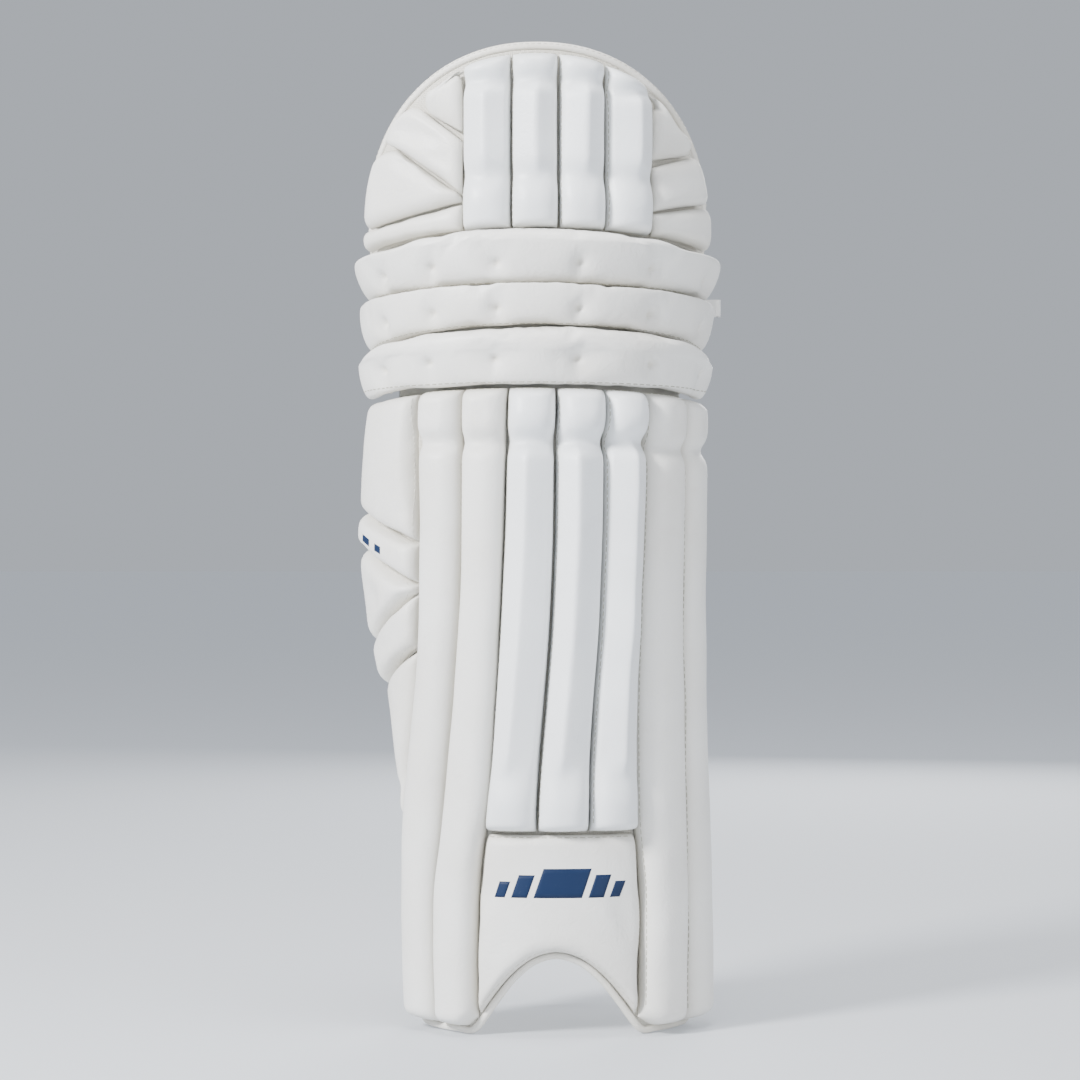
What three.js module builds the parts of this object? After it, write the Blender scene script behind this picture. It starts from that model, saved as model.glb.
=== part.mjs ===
// Cricket batting leg pad. Millimetres, +Z up, front towards -Y, outer wing towards -X.
// Every piece lies on one curved shell: s runs across the pad, z runs up it and h stands out from it.
import * as THREE from 'three'

const DEG = Math.PI / 180
const DEPTH_CENTRE = 54 // shell front to the middle of the whole pad, along Y
const TURN = 40 * DEG // the shell changes from its front radius to its side radius here
const WRAP = 95 * DEG // and runs straight back from here

// z, centre x, front radius, left side radius, right side radius
const SHELL = [
  [0, 15, 105, 88, 85], [94, 12, 108, 86, 80], [163, 9, 111, 86, 74], [232, 6, 114, 93, 71],
  [301, 2, 118, 110, 77], [365, 0, 120, 106, 82], [424, -2, 122, 86, 84], [500, 0, 124, 74, 74],
  [560, 0, 146, 88, 88], [685, 0, 150, 78, 78],
]
const BOARD_IN = -4.4 // inner and outer faces of the stiff boards
const BOARD_OUT = -0.7
const LINING = -5.2 // soft pieces on the leg side start here
const PAD_BACK = 0.4 // back of the cushions that are sewn on a curved board
const TOP_PAD_BACK = 1.3 // and of those in the top hat, where the board curves most
const SEAM = 0.5 // half the gap between neighbouring pieces

const HEM = 4.2 // height of the bound edge strip
const SHORT_END = 142 // where the three middle shin rolls stop above the instep
const ARCH = { half: 64, rise: 53.7, power: 1.3 } // instep arch, which flares out into the feet
const DOME = { half: 120, rise: 119.5, z: 560.5, power: 2.2 } // top hat board outline
const ROUND = 17 // how far the plain rolls stand out
const FACETED = 22 // how far the ridged rolls stand out

// Heights of the four flexing creases at the front, and how far each drops at the sides.
const FLEX = [[448, 5], [488.5, 17], [516.7, 10], [555, 16]]
const FLEX_SIDE = 150

// Creases between the seven shin rolls, as s at these heights.
const LEVELS = [0, 94, 163, 232, 301, 424]
const CREASES = [
  [-124, -121, -109, -94, -84, -80],
  [-88.5, -85.5, -73, -63, -53.5, -48],
  [-57, -53, -41, -33, -25.5, -17.5],
  [-14, -12, -8, -0.5, 8, 14.5],
  [22, 24, 25.5, 31.5, 40, 47],
  [56, 60.5, 58.5, 61.5, 68.5, 78],
  [95, 99.5, 101.5, 103.5, 107, 115],
  [130, 136, 139, 140, 142, 150],
]
const BOARD_LEFT = [[0, -129], [94, -126], [163, -118], [232, -119], [301, -124], [445, -124]]
const BOARD_RIGHT = [[0, 135], [94, 141], [163, 144], [232, 145], [301, 147], [445, 154]]
const WING_EDGE = [
  [146, -121], [180, -126], [232, -137], [301, -158], [345, -158], [383, -151], [424, -139], [444, -134],
]
const WING = { in: 0, out: 2.6 } // faces of the wing's own board, which lies over the shin board's edge
// Seams across the wing: z at the hinge side and at the outer edge.
const WING_SEAMS = [[146, 146], [268, 237], [306, 266], [311, 339], [340, 364], [444, 440]]

const TOP_CREASES = [-49.5, -17.2, 14.4, 45.4, 76.4] // x of the creases between the top rolls
const LEFT_SEAMS = [[616, 645], [578, 619], [574, 560]] // z beside the rolls and at the outer edge
const RIGHT_SEAMS = [[600, 611], [568, 577]]

const STRAPS = [
  { name: 'ankle', z: 108, width: 38 },
  { name: 'calf', z: 272, width: 38 },
  { name: 'knee', z: 392, width: 38 },
]

const COLOURS = {
  cool: [0xf0f3f5, 0.42], warm: [0xefede6, 0.45], board: [0xd9d4c8, 0.85], lining: [0xe9e6dd, 0.9],
  binding: [0xe6e4dc, 0.6], cane: [0xc9a86a, 0.6], web: [0xeceae4, 0.85], hook: [0x2d2e31, 0.95],
  loop: [0xdcdad3, 0.98], tag: [0xf7f7f5, 0.7],
}

const group = new THREE.Group()
group.name = 'cricket_leg_pad'

const clamp = (x, lo, hi) => Math.min(hi, Math.max(lo, x))
const mix = (a, b, t) => a + (b - a) * t
const stops = (n) => Array.from({ length: n + 1 }, (_, i) => i / n)

// Smooth curve through hand-set stations [z, value, value, ...]
function along(stations, z, k = 1) {
  const last = stations.length - 1
  let i = 0
  while (i < last - 1 && z > stations[i + 1][0]) i++
  const slope = (j) => {
    const a = stations[Math.max(j - 1, 0)], b = stations[Math.min(j + 1, last)]
    return (b[k] - a[k]) / (b[0] - a[0])
  }
  const [p, q] = [stations[i], stations[i + 1]], d = q[0] - p[0]
  const t = clamp((z - p[0]) / d, 0, 1), t2 = t * t, t3 = t2 * t
  return p[k] * (2 * t3 - 3 * t2 + 1) + q[k] * (3 * t2 - 2 * t3) +
    d * (slope(i) * (t3 - 2 * t2 + t) + slope(i + 1) * (t3 - t2))
}

const crease = (k, z) => along(LEVELS.map((level, i) => [level, CREASES[k][i]]), z)

function section(z) {
  const [centre, front, left, right] = [1, 2, 3, 4].map((k) => along(SHELL, z, k))
  return { centre, front, left, right }
}

// Point at s across, z up and h out from the shell.
function shell(s, z, h) {
  const { centre, front, left, right } = section(z)
  const side = s < 0 ? -1 : 1, radius = s < 0 ? left : right, reach = Math.abs(s)
  const start = front * TURN, end = start + radius * (WRAP - TURN)
  const t = reach < start ? reach / front : TURN + (Math.min(reach, end) - start) / radius
  let x = front * Math.sin(Math.min(t, TURN)), y = front * (1 - Math.cos(Math.min(t, TURN)))
  if (reach > start) {
    x += radius * (Math.sin(t) - Math.sin(TURN))
    y += radius * (Math.cos(TURN) - Math.cos(t))
  }
  const run = Math.max(0, reach - end)
  x += run * Math.cos(t) + h * Math.sin(t)
  y += run * Math.sin(t) - h * Math.cos(t)
  return [centre + side * x, y - DEPTH_CENTRE, z]
}

// The s whose shell point has this x.
function acrossAt(x, z) {
  const { centre, front, left, right } = section(z)
  const side = x < centre ? -1 : 1, radius = side < 0 ? left : right, reach = Math.abs(x - centre)
  const flat = front * Math.sin(TURN)
  if (reach < flat) return side * front * Math.asin(reach / front)
  const t = Math.asin(clamp(Math.sin(TURN) + (reach - flat) / radius, 0, 1))
  return side * (front * TURN + radius * (t - TURN))
}

function addMesh(name, points, triangles, tone) {
  const geometry = new THREE.BufferGeometry()
  geometry.setAttribute('position', new THREE.Float32BufferAttribute(points.flat(), 3))
  geometry.setIndex(triangles.flat())
  geometry.computeVertexNormals()
  const [color, roughness] = COLOURS[tone]
  const mesh = new THREE.Mesh(geometry, new THREE.MeshStandardMaterial({ color, roughness, metalness: 0 }))
  mesh.name = name
  group.add(mesh)
}

// Closed body between an outer and an inner grid; each returns a point for u and v in 0..1.
function slab(name, us, vs, outer, inner, tone) {
  const nu = us.length, nv = vs.length, points = [], tris = []
  for (const face of [outer, inner]) for (const v of vs) for (const u of us) points.push(face(u, v))
  const at = (k, i, j) => (k * nv + j) * nu + i
  const quad = (a, b, c, d) => tris.push([a, b, c], [a, c, d])
  for (let j = 0; j < nv - 1; j++) for (let i = 0; i < nu - 1; i++) {
    quad(at(0, i, j), at(0, i + 1, j), at(0, i + 1, j + 1), at(0, i, j + 1))
    quad(at(1, i, j), at(1, i, j + 1), at(1, i + 1, j + 1), at(1, i + 1, j))
  }
  for (let i = 0; i < nu - 1; i++) {
    quad(at(1, i, 0), at(1, i + 1, 0), at(0, i + 1, 0), at(0, i, 0))
    quad(at(0, i, nv - 1), at(0, i + 1, nv - 1), at(1, i + 1, nv - 1), at(1, i, nv - 1))
  }
  for (let j = 0; j < nv - 1; j++) {
    quad(at(0, 0, j), at(0, 0, j + 1), at(1, 0, j + 1), at(1, 0, j))
    quad(at(1, nu - 1, j), at(1, nu - 1, j + 1), at(0, nu - 1, j + 1), at(0, nu - 1, j))
  }
  addMesh(name, points, tris, tone)
}

// Six times the volume inside a closed set of triangles; negative when it is wound inside out.
function signedVolume(points, tris) {
  const [a, b, c] = [0, 1, 2].map(() => new THREE.Vector3())
  return tris.reduce((sum, [i, j, k]) =>
    sum + a.fromArray(points[i]).dot(b.fromArray(points[j]).cross(c.fromArray(points[k]))), 0)
}

// Closed bar through a list of rings with the same number of corners.
function bar(name, rings, tone) {
  const n = rings[0].length, points = rings.flat(), tris = []
  for (let r = 0; r < rings.length - 1; r++) for (let i = 0; i < n; i++) {
    const a = r * n + i, b = r * n + (i + 1) % n
    tris.push([a, b, b + n], [a, b + n, a + n])
  }
  const end = (rings.length - 1) * n
  for (let i = 1; i < n - 1; i++) tris.push([0, i + 1, i], [end, end + i, end + i + 1])
  addMesh(name, points, signedVolume(points, tris) < 0 ? tris.map(([a, b, c]) => [a, c, b]) : tris, tone)
}

// ---- Outlines ----
const flexZ = (k, s) => FLEX[k][0] - FLEX[k][1] * (s / FLEX_SIDE) ** 2
// Clearance beside each flexing crease: it widens behind the hinge line, where the pad closes up.
const flexGap = (s) => 0.9 + 2.1 * (s / FLEX_SIDE) ** 2

function footZ(s) {
  const base = HEM + SEAM
  if (Math.abs(s) < ARCH.half) return base + ARCH.rise * (1 - (s / ARCH.half) ** 2) ** ARCH.power
  return base + (s > 0 ? 8 * clamp((s - 116) / 18, 0, 1.2) ** 2 : 6 * clamp((-s - 112) / 16, 0, 1.2) ** 2)
}
// The other side of the dome's outline, as a share of its half size, from a share along one side
const domeShare = (share) => clamp(1 - clamp(Math.abs(share), 0, 1) ** DOME.power, 0, 1) ** (1 / DOME.power)
const domeZ = (x, inset) => DOME.z + (DOME.rise - inset) * domeShare(x / (DOME.half - inset))
const domeX = (z, inset) => (DOME.half - inset) * domeShare(Math.max(0, z - DOME.z) / (DOME.rise - inset))

// ---- Padding profiles ----
const swell = (v, power) => Math.sin(Math.PI * clamp(v, 0, 1)) ** power
const rollTop = (t, edge, peak) => edge + (peak - edge) * Math.sqrt(Math.max(0, 1 - Math.abs(t) ** 2.2))
const ridgeTop = (t, edge, peak) => edge + (peak - edge) * (1 - Math.abs(t)) ** 0.75

// Shin rolls: a knob under the knee, a waist, then the long run down to the hem.
const KNOB = [[0, 1], [370, 1], [396, 0.92], [408, 0.8], [420, 0.98], [434, 0.96], [441, 0.72], [447, 0.45]]
const LONG_ROWS = [0, 0.012, 0.03, 0.1, 0.21, 0.32, 0.43, 0.54, 0.65, 0.76, 0.87, 0.925, 0.96, 0.985, 1]
const SHORT_ROWS = [0, 0.02, 0.06, 0.13, 0.3, 0.47, 0.64, 0.8, 0.89, 0.94, 0.98, 1]
const OUTER_COLS = [-1, -0.84, -0.5, 0, 0.5, 0.84, 1]
const CHANNEL = { wide: 5.6, deep: 4.2, height: 8.4, from: 0.06, to: 0.9 }
const CANE = { radius: 3.4, height: 4.4, from: 0.14, to: 0.86 }

function shinRoll(number, { long, ridge = 0.5, faceted, tone }) {
  const k = number - 1, rows = long ? LONG_ROWS : SHORT_ROWS, cols = stops(6)
  const low = (s) => (long ? footZ(s) + 1.2 : SHORT_END)
  const high = (s) => flexZ(0, s) - flexGap(s)
  // z follows the row between the lower and upper ends, then s follows the creases at that z
  const place = (u, v) => {
    let z = mix(low(0.5 * (crease(k, 0) + crease(k + 1, 0))), high(crease(k, 440)), v)
    let s = 0
    for (let pass = 0; pass < 3; pass++) {
      s = mix(crease(k, z) + SEAM, crease(k + 1, z) - SEAM, u)
      z = mix(low(s), high(s), v)
    }
    return [s, z]
  }
  const outer = (u, v) => {
    const t = OUTER_COLS[Math.round(u * 6)], across = t < 0 ? ridge * (1 + t) : ridge + (1 - ridge) * t
    const [s, z] = place(across, v)
    const tip = v < 0.03 ? mix(0.45, 1, v / 0.03) : 1
    const flare = long ? 1 : 1 + 0.12 * swell((185 - z) / 45, 1)
    const peak = (faceted ? FACETED : ROUND) * along(KNOB, z) * tip * flare
    return shell(s, z, (faceted ? ridgeTop : rollTop)(t, 4, peak))
  }
  const inner = (u, v) => {
    const [ls] = place(0, v), [rs] = place(1, v), [cs] = place(ridge, v)
    const { wide, deep, height, from, to } = CHANNEL
    const column = Math.round(u * 6), s = [ls, cs - wide, cs - deep, cs, cs + deep, cs + wide, rs][column]
    const open = column > 1 && column < 5 && v > from && v < to
    return shell(s, mix(low(s), high(s), v), open ? height : 0)
  }
  slab(`shin_roll_${number}`, cols, rows, outer, inner, tone)

  const inside = rows.filter((v) => v > CANE.from && v < CANE.to)
  const rings = [CANE.from, ...inside, CANE.to].map((v) => {
    const [s, z] = place(ridge, v)
    return stops(5).map((_, i) => {
      const a = (i * 60 + 30) * DEG
      return shell(s + CANE.radius * Math.cos(a), z, CANE.height + CANE.radius * Math.sin(a))
    })
  })
  bar(`shin_cane_${number}`, rings, 'cane')
}

shinRoll(1, { long: true, tone: 'warm' })
shinRoll(2, { long: true, tone: 'warm' })
shinRoll(3, { ridge: 0.42, faceted: true, tone: 'cool' })
shinRoll(4, { ridge: 0.38, faceted: true, tone: 'cool' })
shinRoll(5, { ridge: 0.56, faceted: true, tone: 'cool' })
shinRoll(6, { long: true, tone: 'warm' })
shinRoll(7, { long: true, tone: 'warm' })

// ---- Boards ----
const boardFaces = (place) => [BOARD_OUT, BOARD_IN].map((h) => (u, v) => shell(...place(u, v), h))

// Across the feet the columns bunch up where the arch turns down, so board and hem share corners.
const ARCH_COLS = [-1, -0.96, -0.88, -0.72, -0.5, -0.25, 0, 0.25, 0.5, 0.72, 0.88, 0.96, 1]
const FOOT_COLS = [
  ...stops(6).slice(0, 6).map((t) => mix(BOARD_LEFT[0][1], -ARCH.half, t)),
  ...ARCH_COLS.map((t) => t * ARCH.half),
  ...stops(7).slice(1).map((t) => mix(ARCH.half, BOARD_RIGHT[0][1], t)),
]

const footSpan = [BOARD_LEFT[0][1], BOARD_RIGHT[0][1]]
slab('shin_board', FOOT_COLS.map((s) => (s - footSpan[0]) / (footSpan[1] - footSpan[0])), stops(13),
  ...boardFaces((u, v) => {
    const foot = mix(...footSpan, u)
    let s = foot, z = 0
    for (let pass = 0; pass < 3; pass++) {
      z = mix(footZ(foot), flexZ(0, s) - flexGap(s), v)
      s = mix(foot, mix(along(BOARD_LEFT, z), along(BOARD_RIGHT, z), u), Math.min(1, 3 * v))
    }
    return [s, z]
  }), 'board')

const KNEE_NAMES = ['lower', 'middle', 'upper']
KNEE_NAMES.forEach((name, k) => {
  const band = (half, squeeze) => (u, v) => {
    const s = mix(-half, half, u)
    const low = flexZ(k, s) + flexGap(s) + squeeze, high = flexZ(k + 1, s) - flexGap(s) - squeeze
    return [s, mix(low, high, v)]
  }
  slab(`knee_board_${name}`, stops(22), stops(2), ...boardFaces(band(153, 0.3)), 'board')
  const at = band(150, 0)
  slab(`knee_roll_${name}`, stops(22), [0, 0.08, 0.28, 0.5, 0.72, 0.92, 1],
    (u, v) => {
      const end = 1 - 0.55 * Math.abs(2 * u - 1) ** 10
      return shell(...at(u, v), 3 + (k === 1 ? 15 : 17.5) * swell(0.08 + 0.84 * v, 0.7) * end)
    },
    (u, v) => shell(...at(u, v), 0), 'warm')
})

// Top hat board, its rolls and the wedge pads either side of them
const topFoot = (s) => flexZ(3, s) + flexGap(s)
const topEdge = DOME.half - 1
slab('top_board', stops(22).map((t) => 0.5 - 0.5 * Math.cos(Math.PI * t)), stops(9), ...boardFaces((u, v) => {
  const x = mix(-topEdge, topEdge, u)
  const s = acrossAt(x, DOME.z)
  const low = topFoot(s), z = mix(low, domeZ(x, 0), v)
  return [acrossAt(x, z), z]
}), 'board')

TOP_CREASES.slice(0, 4).forEach((left, k) => {
  const right = TOP_CREASES[k + 1]
  slab(`top_roll_${k + 1}`, stops(6), [0, 0.04, 0.12, 0.24, 0.38, 0.46, 0.6, 0.76, 0.88, 0.95, 1],
    (u, v) => {
      const t = OUTER_COLS[Math.round(u * 6)], x = mix(left + SEAM, right - SEAM, 0.5 + 0.5 * t)
      const z = mix(topFoot(x), domeZ(x, 3.5), v)
      const waist = 1 - 0.16 * swell((v - 0.26) / 0.24, 1), tip = clamp(0.5 + 5 * Math.min(v, 1 - v), 0, 1)
      return shell(acrossAt(x, z), z, ridgeTop(t, 4, 20 * waist * tip))
    },
    (u, v) => {
      const x = mix(left + SEAM, right - SEAM, u), z = mix(topFoot(x), domeZ(x, 3.5), v)
      return shell(acrossAt(x, z), z, 0)
    }, 'cool')
})

// A cushion in the top hat between two seams, which give z at x, running out towards the dome's edge.
function topPad(name, side, low, high, furthest) {
  const from = side < 0 ? TOP_CREASES[0] - SEAM : TOP_CREASES[4] + SEAM
  const place = (u, v) => {
    let x = from, z = 0
    for (let pass = 0; pass < 8; pass++) {
      z = mix(low(x), Math.min(high(x), domeZ(x, 4)), v)
      x = mix(from, side * Math.min(domeX(z, 5), furthest), side < 0 ? 1 - u : u)
    }
    return [acrossAt(x, z), z]
  }
  slab(name, stops(6), stops(5),
    (u, v) => shell(...place(u, v), 4 + 8 * swell(u, 0.55) * swell(v, 0.55)),
    (u, v) => shell(...place(u, v), TOP_PAD_BACK), 'warm')
}

function stackPads(side, word, seams) {
  const from = TOP_CREASES[side < 0 ? 0 : 4], lines = seams.map(([a, b]) => {
    const end = side * domeX(b, 5)
    return (x) => mix(a, b, (x - from) / (end - from))
  })
  for (let i = 0; i <= lines.length; i++) {
    const high = i === 0 ? () => DOME.z + DOME.rise : (x) => lines[i - 1](x) - SEAM
    const last = i === lines.length
    const low = last ? (x) => topFoot(acrossAt(x, FLEX[3][0])) + SEAM : (x) => lines[i](x) + SEAM
    topPad(`top_${word}_pad_${i + 1}`, side, low, high, i === 0 ? domeX(seams[0][1] + 8, 5) : DOME.half)
  }
}
stackPads(-1, 'left', LEFT_SEAMS)
stackPads(1, 'right', RIGHT_SEAMS)

// ---- Instep panel, wing ----
const PANEL_HALF = 55.5 // the panel's lower corners stop short of the feet
slab('instep_panel', ARCH_COLS.map((t) => 0.5 + 0.5 * t), stops(6), ...[true, false].map((face) => (u, v) => {
  const foot = mix(-PANEL_HALF, PANEL_HALF, u), z = mix(footZ(foot) + 1, SHORT_END - 1.4, v)
  const s = mix(foot, mix(crease(2, z) + 1.2, crease(5, z) - 1.2, u), Math.min(1, 2 * v))
  return shell(s, z, face ? 3.5 + 6 * swell(u, 0.4) * swell(v, 0.5) : 0)
}), 'warm')

// The four upper wing cushions ride on the wing's own board; the lowest is sewn to the shin board.
const WING_PADS = ['lower', 'heel', 'arrow', 'ridge', 'upper']
WING_PADS.forEach((name, k) => {
  const fixed = name === 'lower', valley = fixed ? 1.2 : 4, back = fixed ? PAD_BACK : WING.out + 0.6
  const place = (u, v) => {
    const [low, high] = [WING_SEAMS[k], WING_SEAMS[k + 1]], w = 1 - u
    const z = mix(mix(...low, w) + SEAM, mix(...high, w) - SEAM, v)
    return [mix(crease(0, z) - valley, along(WING_EDGE, z) + 3, w), z]
  }
  slab(`wing_pad_${name}`, stops(6), stops(fixed || name === 'upper' ? 6 : 4),
    (u, v) => shell(...place(u, v), back + 3 + (name === 'ridge' ? 9.5 : 8) * swell(u, 0.5) * swell(v, 0.5)),
    (u, v) => shell(...place(u, v), back), 'warm')
})
slab('wing_board', stops(7), stops(9), ...[WING.out, WING.in].map((h) => (u, v) => {
  const z = mix(mix(...WING_SEAMS[1], 1 - u) + SEAM, mix(...WING_SEAMS[5], 1 - u), v)
  return shell(mix(along(WING_EDGE, z), crease(0, z) - 1.2, u), z, h)
}), 'board')

// ---- Edge bindings ----
// Four-cornered strip beside a path of [s, z]; it lies to the right of the direction of travel.
function binding(name, path, near, far, low, high) {
  const rings = path.map(([s, z], i) => {
    const [a, b] = [path[Math.max(i - 1, 0)], path[Math.min(i + 1, path.length - 1)]]
    const [ds, dz] = [b[0] - a[0], b[1] - a[1]], d = Math.hypot(ds, dz)
    const at = (r, h) => shell(s + (dz / d) * r, Math.max(0, z - (ds / d) * r), h)
    return [at(near, low), at(far, low), at(far, high), at(near, high)]
  })
  bar(name, rings, 'binding')
}
binding('hem_binding', FOOT_COLS.map((s) => [s, footZ(s)]), SEAM, HEM + SEAM, -5, 4.5)

const domePath = stops(40).map((t) => {
  const a = (178 - 176 * t) * DEG
  const [c, w] = [Math.cos(a), Math.sin(a)]
  const scale = (Math.abs(c) ** DOME.power + w ** DOME.power) ** (-1 / DOME.power)
  const x = DOME.half * c * scale, z = DOME.z + DOME.rise * w * scale
  return [acrossAt(x, z), z]
}).reverse()
binding('top_binding', domePath, SEAM, SEAM + 4, -5, 5)

// ---- Lining side ----
function lining(name, s0, s1, z0, z1, depth, cols, rows, tone) {
  const place = (u, v) => [mix(s0, s1, u), mix(z0, z1, v)]
  slab(name, stops(cols), stops(rows), (u, v) => shell(...place(u, v), LINING),
    (u, v) => shell(...place(u, v), LINING - 1.4 - (depth - 1.4) * swell(u, 0.5) * swell(v, 0.4)), tone)
}
lining('inner_bolster_left', -74, -24, 84, 430, 14, 6, 9, 'lining')
lining('inner_bolster_right', 24, 74, 84, 430, 14, 6, 9, 'lining')
lining('knee_bolster_lower', -92, 92, 453, 475, 15, 14, 4, 'lining')
lining('knee_bolster_upper', -92, 92, 520, 541, 15, 14, 4, 'lining')
lining('top_inner_pad', -60, 60, 562, 650, 9, 10, 6, 'lining')

// ---- Straps: webbing from the right rear edge, round behind the leg, to a patch inside the left edge ----
for (const { name, z, width } of STRAPS) {
  const [z0, z1] = [z - width / 2, z + width / 2]
  const left = along(BOARD_LEFT, z), right = along(BOARD_RIGHT, z)
  const strip = (label, path, [h0, h1], inset, tone) => bar(label,
    path.map((at) => [at(h0, z0 + inset), at(h1, z0 + inset), at(h1, z1 - inset), at(h0, z1 - inset)]), tone)
  const onBoard = (from, to, n) => stops(n).map((t) => (h, zz) => shell(mix(from, to, t), zz, h))

  strip(`${name}_landing_patch`, onBoard(left + 30, left + 3, 3), [LINING, LINING - 1.3], 2, 'loop')
  strip(`${name}_hook_patch`, onBoard(left + 29, left + 4, 3), [LINING - 1.8, LINING - 3.1], 2, 'hook')

  // Plan curve behind the leg: leaves along the right edge and arrives along the left edge.
  const tangent = (s, step) => {
    const a = shell(s, z, -9), b = shell(s + step, z, -9), d = Math.hypot(b[0] - a[0], b[1] - a[1])
    return [(b[0] - a[0]) / d, (b[1] - a[1]) / d]
  }
  const start = shell(right + 2, z, -9.8), leave = tangent(right - 2, 2)
  const stop = shell(left + 1, z, -9.8), arrive = tangent(left + 4, -2)
  const pull = 74
  const curve = (t) => {
    const b = [(1 - t) ** 3, 3 * t * (1 - t) ** 2, 3 * t * t * (1 - t), t ** 3]
    return [0, 1].map((i) => start[i] * b[0] + (start[i] + leave[i] * pull) * b[1] +
      (stop[i] + arrive[i] * pull) * b[2] + stop[i] * b[3])
  }
  const behind = stops(20).map((t) => (h, zz) => {
    const a = curve(Math.max(0, t - 0.01)), b = curve(Math.min(1, t + 0.01)), p = curve(t)
    const d = Math.hypot(b[0] - a[0], b[1] - a[1]), off = h - (LINING - 4.6)
    return [p[0] + ((b[1] - a[1]) / d) * off, p[1] - ((b[0] - a[0]) / d) * off, zz]
  })
  const inside = onBoard(left + 3, left + 30, 4)
  strip(`${name}_strap`, [...behind, ...inside], [LINING - 3.6, LINING - 5.8], 0, 'web')
}

// ---- Size tag: a short tab standing out of the right end of the upper knee crease ----
const tagFace = (s) => (u, v) => shell(s, mix(502, 514, v), mix(0, 22, u))
slab('size_tag', stops(2), stops(2), tagFace(155), tagFace(156),
  'tag')

export default group
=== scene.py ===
import math

import bmesh
import bpy
import numpy as np
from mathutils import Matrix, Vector
from mathutils.bvhtree import BVHTree


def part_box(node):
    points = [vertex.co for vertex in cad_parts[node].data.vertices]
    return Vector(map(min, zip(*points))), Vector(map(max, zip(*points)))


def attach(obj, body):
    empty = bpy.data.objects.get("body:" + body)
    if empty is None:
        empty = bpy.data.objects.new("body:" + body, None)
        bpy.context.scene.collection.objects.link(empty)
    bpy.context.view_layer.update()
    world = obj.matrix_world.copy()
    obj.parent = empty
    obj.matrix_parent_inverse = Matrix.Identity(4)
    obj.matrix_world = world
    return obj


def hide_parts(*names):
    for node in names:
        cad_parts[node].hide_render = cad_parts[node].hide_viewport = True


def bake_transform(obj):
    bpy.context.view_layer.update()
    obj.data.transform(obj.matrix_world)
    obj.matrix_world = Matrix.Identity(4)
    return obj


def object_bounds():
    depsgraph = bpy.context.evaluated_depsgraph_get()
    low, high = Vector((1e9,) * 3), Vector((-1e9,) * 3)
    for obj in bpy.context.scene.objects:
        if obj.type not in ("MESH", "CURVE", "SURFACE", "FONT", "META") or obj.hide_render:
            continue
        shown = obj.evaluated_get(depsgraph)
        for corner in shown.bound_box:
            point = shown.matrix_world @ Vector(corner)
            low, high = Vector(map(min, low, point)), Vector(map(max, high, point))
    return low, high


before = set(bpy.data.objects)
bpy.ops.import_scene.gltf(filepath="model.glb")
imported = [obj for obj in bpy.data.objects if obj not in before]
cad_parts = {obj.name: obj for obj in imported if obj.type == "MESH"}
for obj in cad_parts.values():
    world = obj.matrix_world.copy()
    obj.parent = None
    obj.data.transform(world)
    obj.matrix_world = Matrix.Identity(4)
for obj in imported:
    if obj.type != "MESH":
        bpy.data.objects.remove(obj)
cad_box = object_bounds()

MM = 0.001
TURN = math.radians(40)  # the shell changes from its front radius to its side radius at this angle
BODY_OF_BOARD = {"shin_board": "shin", "knee_board_lower": "knee_lower", "knee_board_middle": "knee_middle",
                 "knee_board_upper": "knee_upper", "top_board": "top_hat"}
BODY_OF_INNER_PAD = {"inner_bolster_left": "shin", "inner_bolster_right": "shin",
                     "knee_bolster_lower": "knee_lower", "knee_bolster_upper": "knee_upper",
                     "top_inner_pad": "top_hat"}
STRAP_LEVELS = ("ankle", "calf", "knee")
BOARD_DEPTH = -2.6 * MM  # height of the middle of the boards
CLOTH_FRAMES = 20
LENS = 98.4
CAMERA_GAP = 2.0  # from the camera to the front of the pad
CAMERA_X = 2 * MM
AIM = Vector((0.0, 0.0, 0.36))  # what the lights point at
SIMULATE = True


# ---- Reading the frame ----
def node_bmesh(name):
    bm = bmesh.new()
    bm.from_mesh(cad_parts[name].data)
    bmesh.ops.remove_doubles(bm, verts=bm.verts, dist=0.01 * MM)
    bm.normal_update()
    return bm


def outer_edges(name):
    """Both ends of every edge on a board's outer face."""
    bm = node_bmesh(name)
    centre = Vector((0.005, 0.01, 0))
    ends = set()
    for face in bm.faces:
        out = (face.calc_center_median() - centre) * Vector((1, 1, 0))
        if face.normal.dot(out.normalized()) > 0.6:
            ends.update(face.edges)
    found = np.array([[v.co[:] for v in edge.verts] for edge in ends])
    bm.free()
    return found


def fit_level(xy):
    """Centre x, front y, front radius and the two side radii of the shell through these points."""
    near = xy[np.abs(xy[:, 0] - xy[xy[:, 1].argmin(), 0]) < 55 * MM]
    a, b, c = np.linalg.lstsq(np.c_[near, np.ones(len(near))], -(near**2).sum(1), rcond=None)[0]
    middle = np.array([-a / 2, -b / 2])
    radius = math.sqrt(middle @ middle - c)
    sides = []
    for side in (-1, 1):
        turn = np.array([side * math.sin(TURN), -math.cos(TURN)])
        q = xy - middle
        angle = np.arctan2(side * q[:, 0], -q[:, 1])
        q = q[angle > math.radians(52)]
        bends = ((q - radius * turn) ** 2).sum(1) / (2 * (radius - q @ turn))
        sides.append(np.median(bends) if len(bends) else np.nan)
    return [middle[0], middle[1] - radius, radius, *sides]


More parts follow.
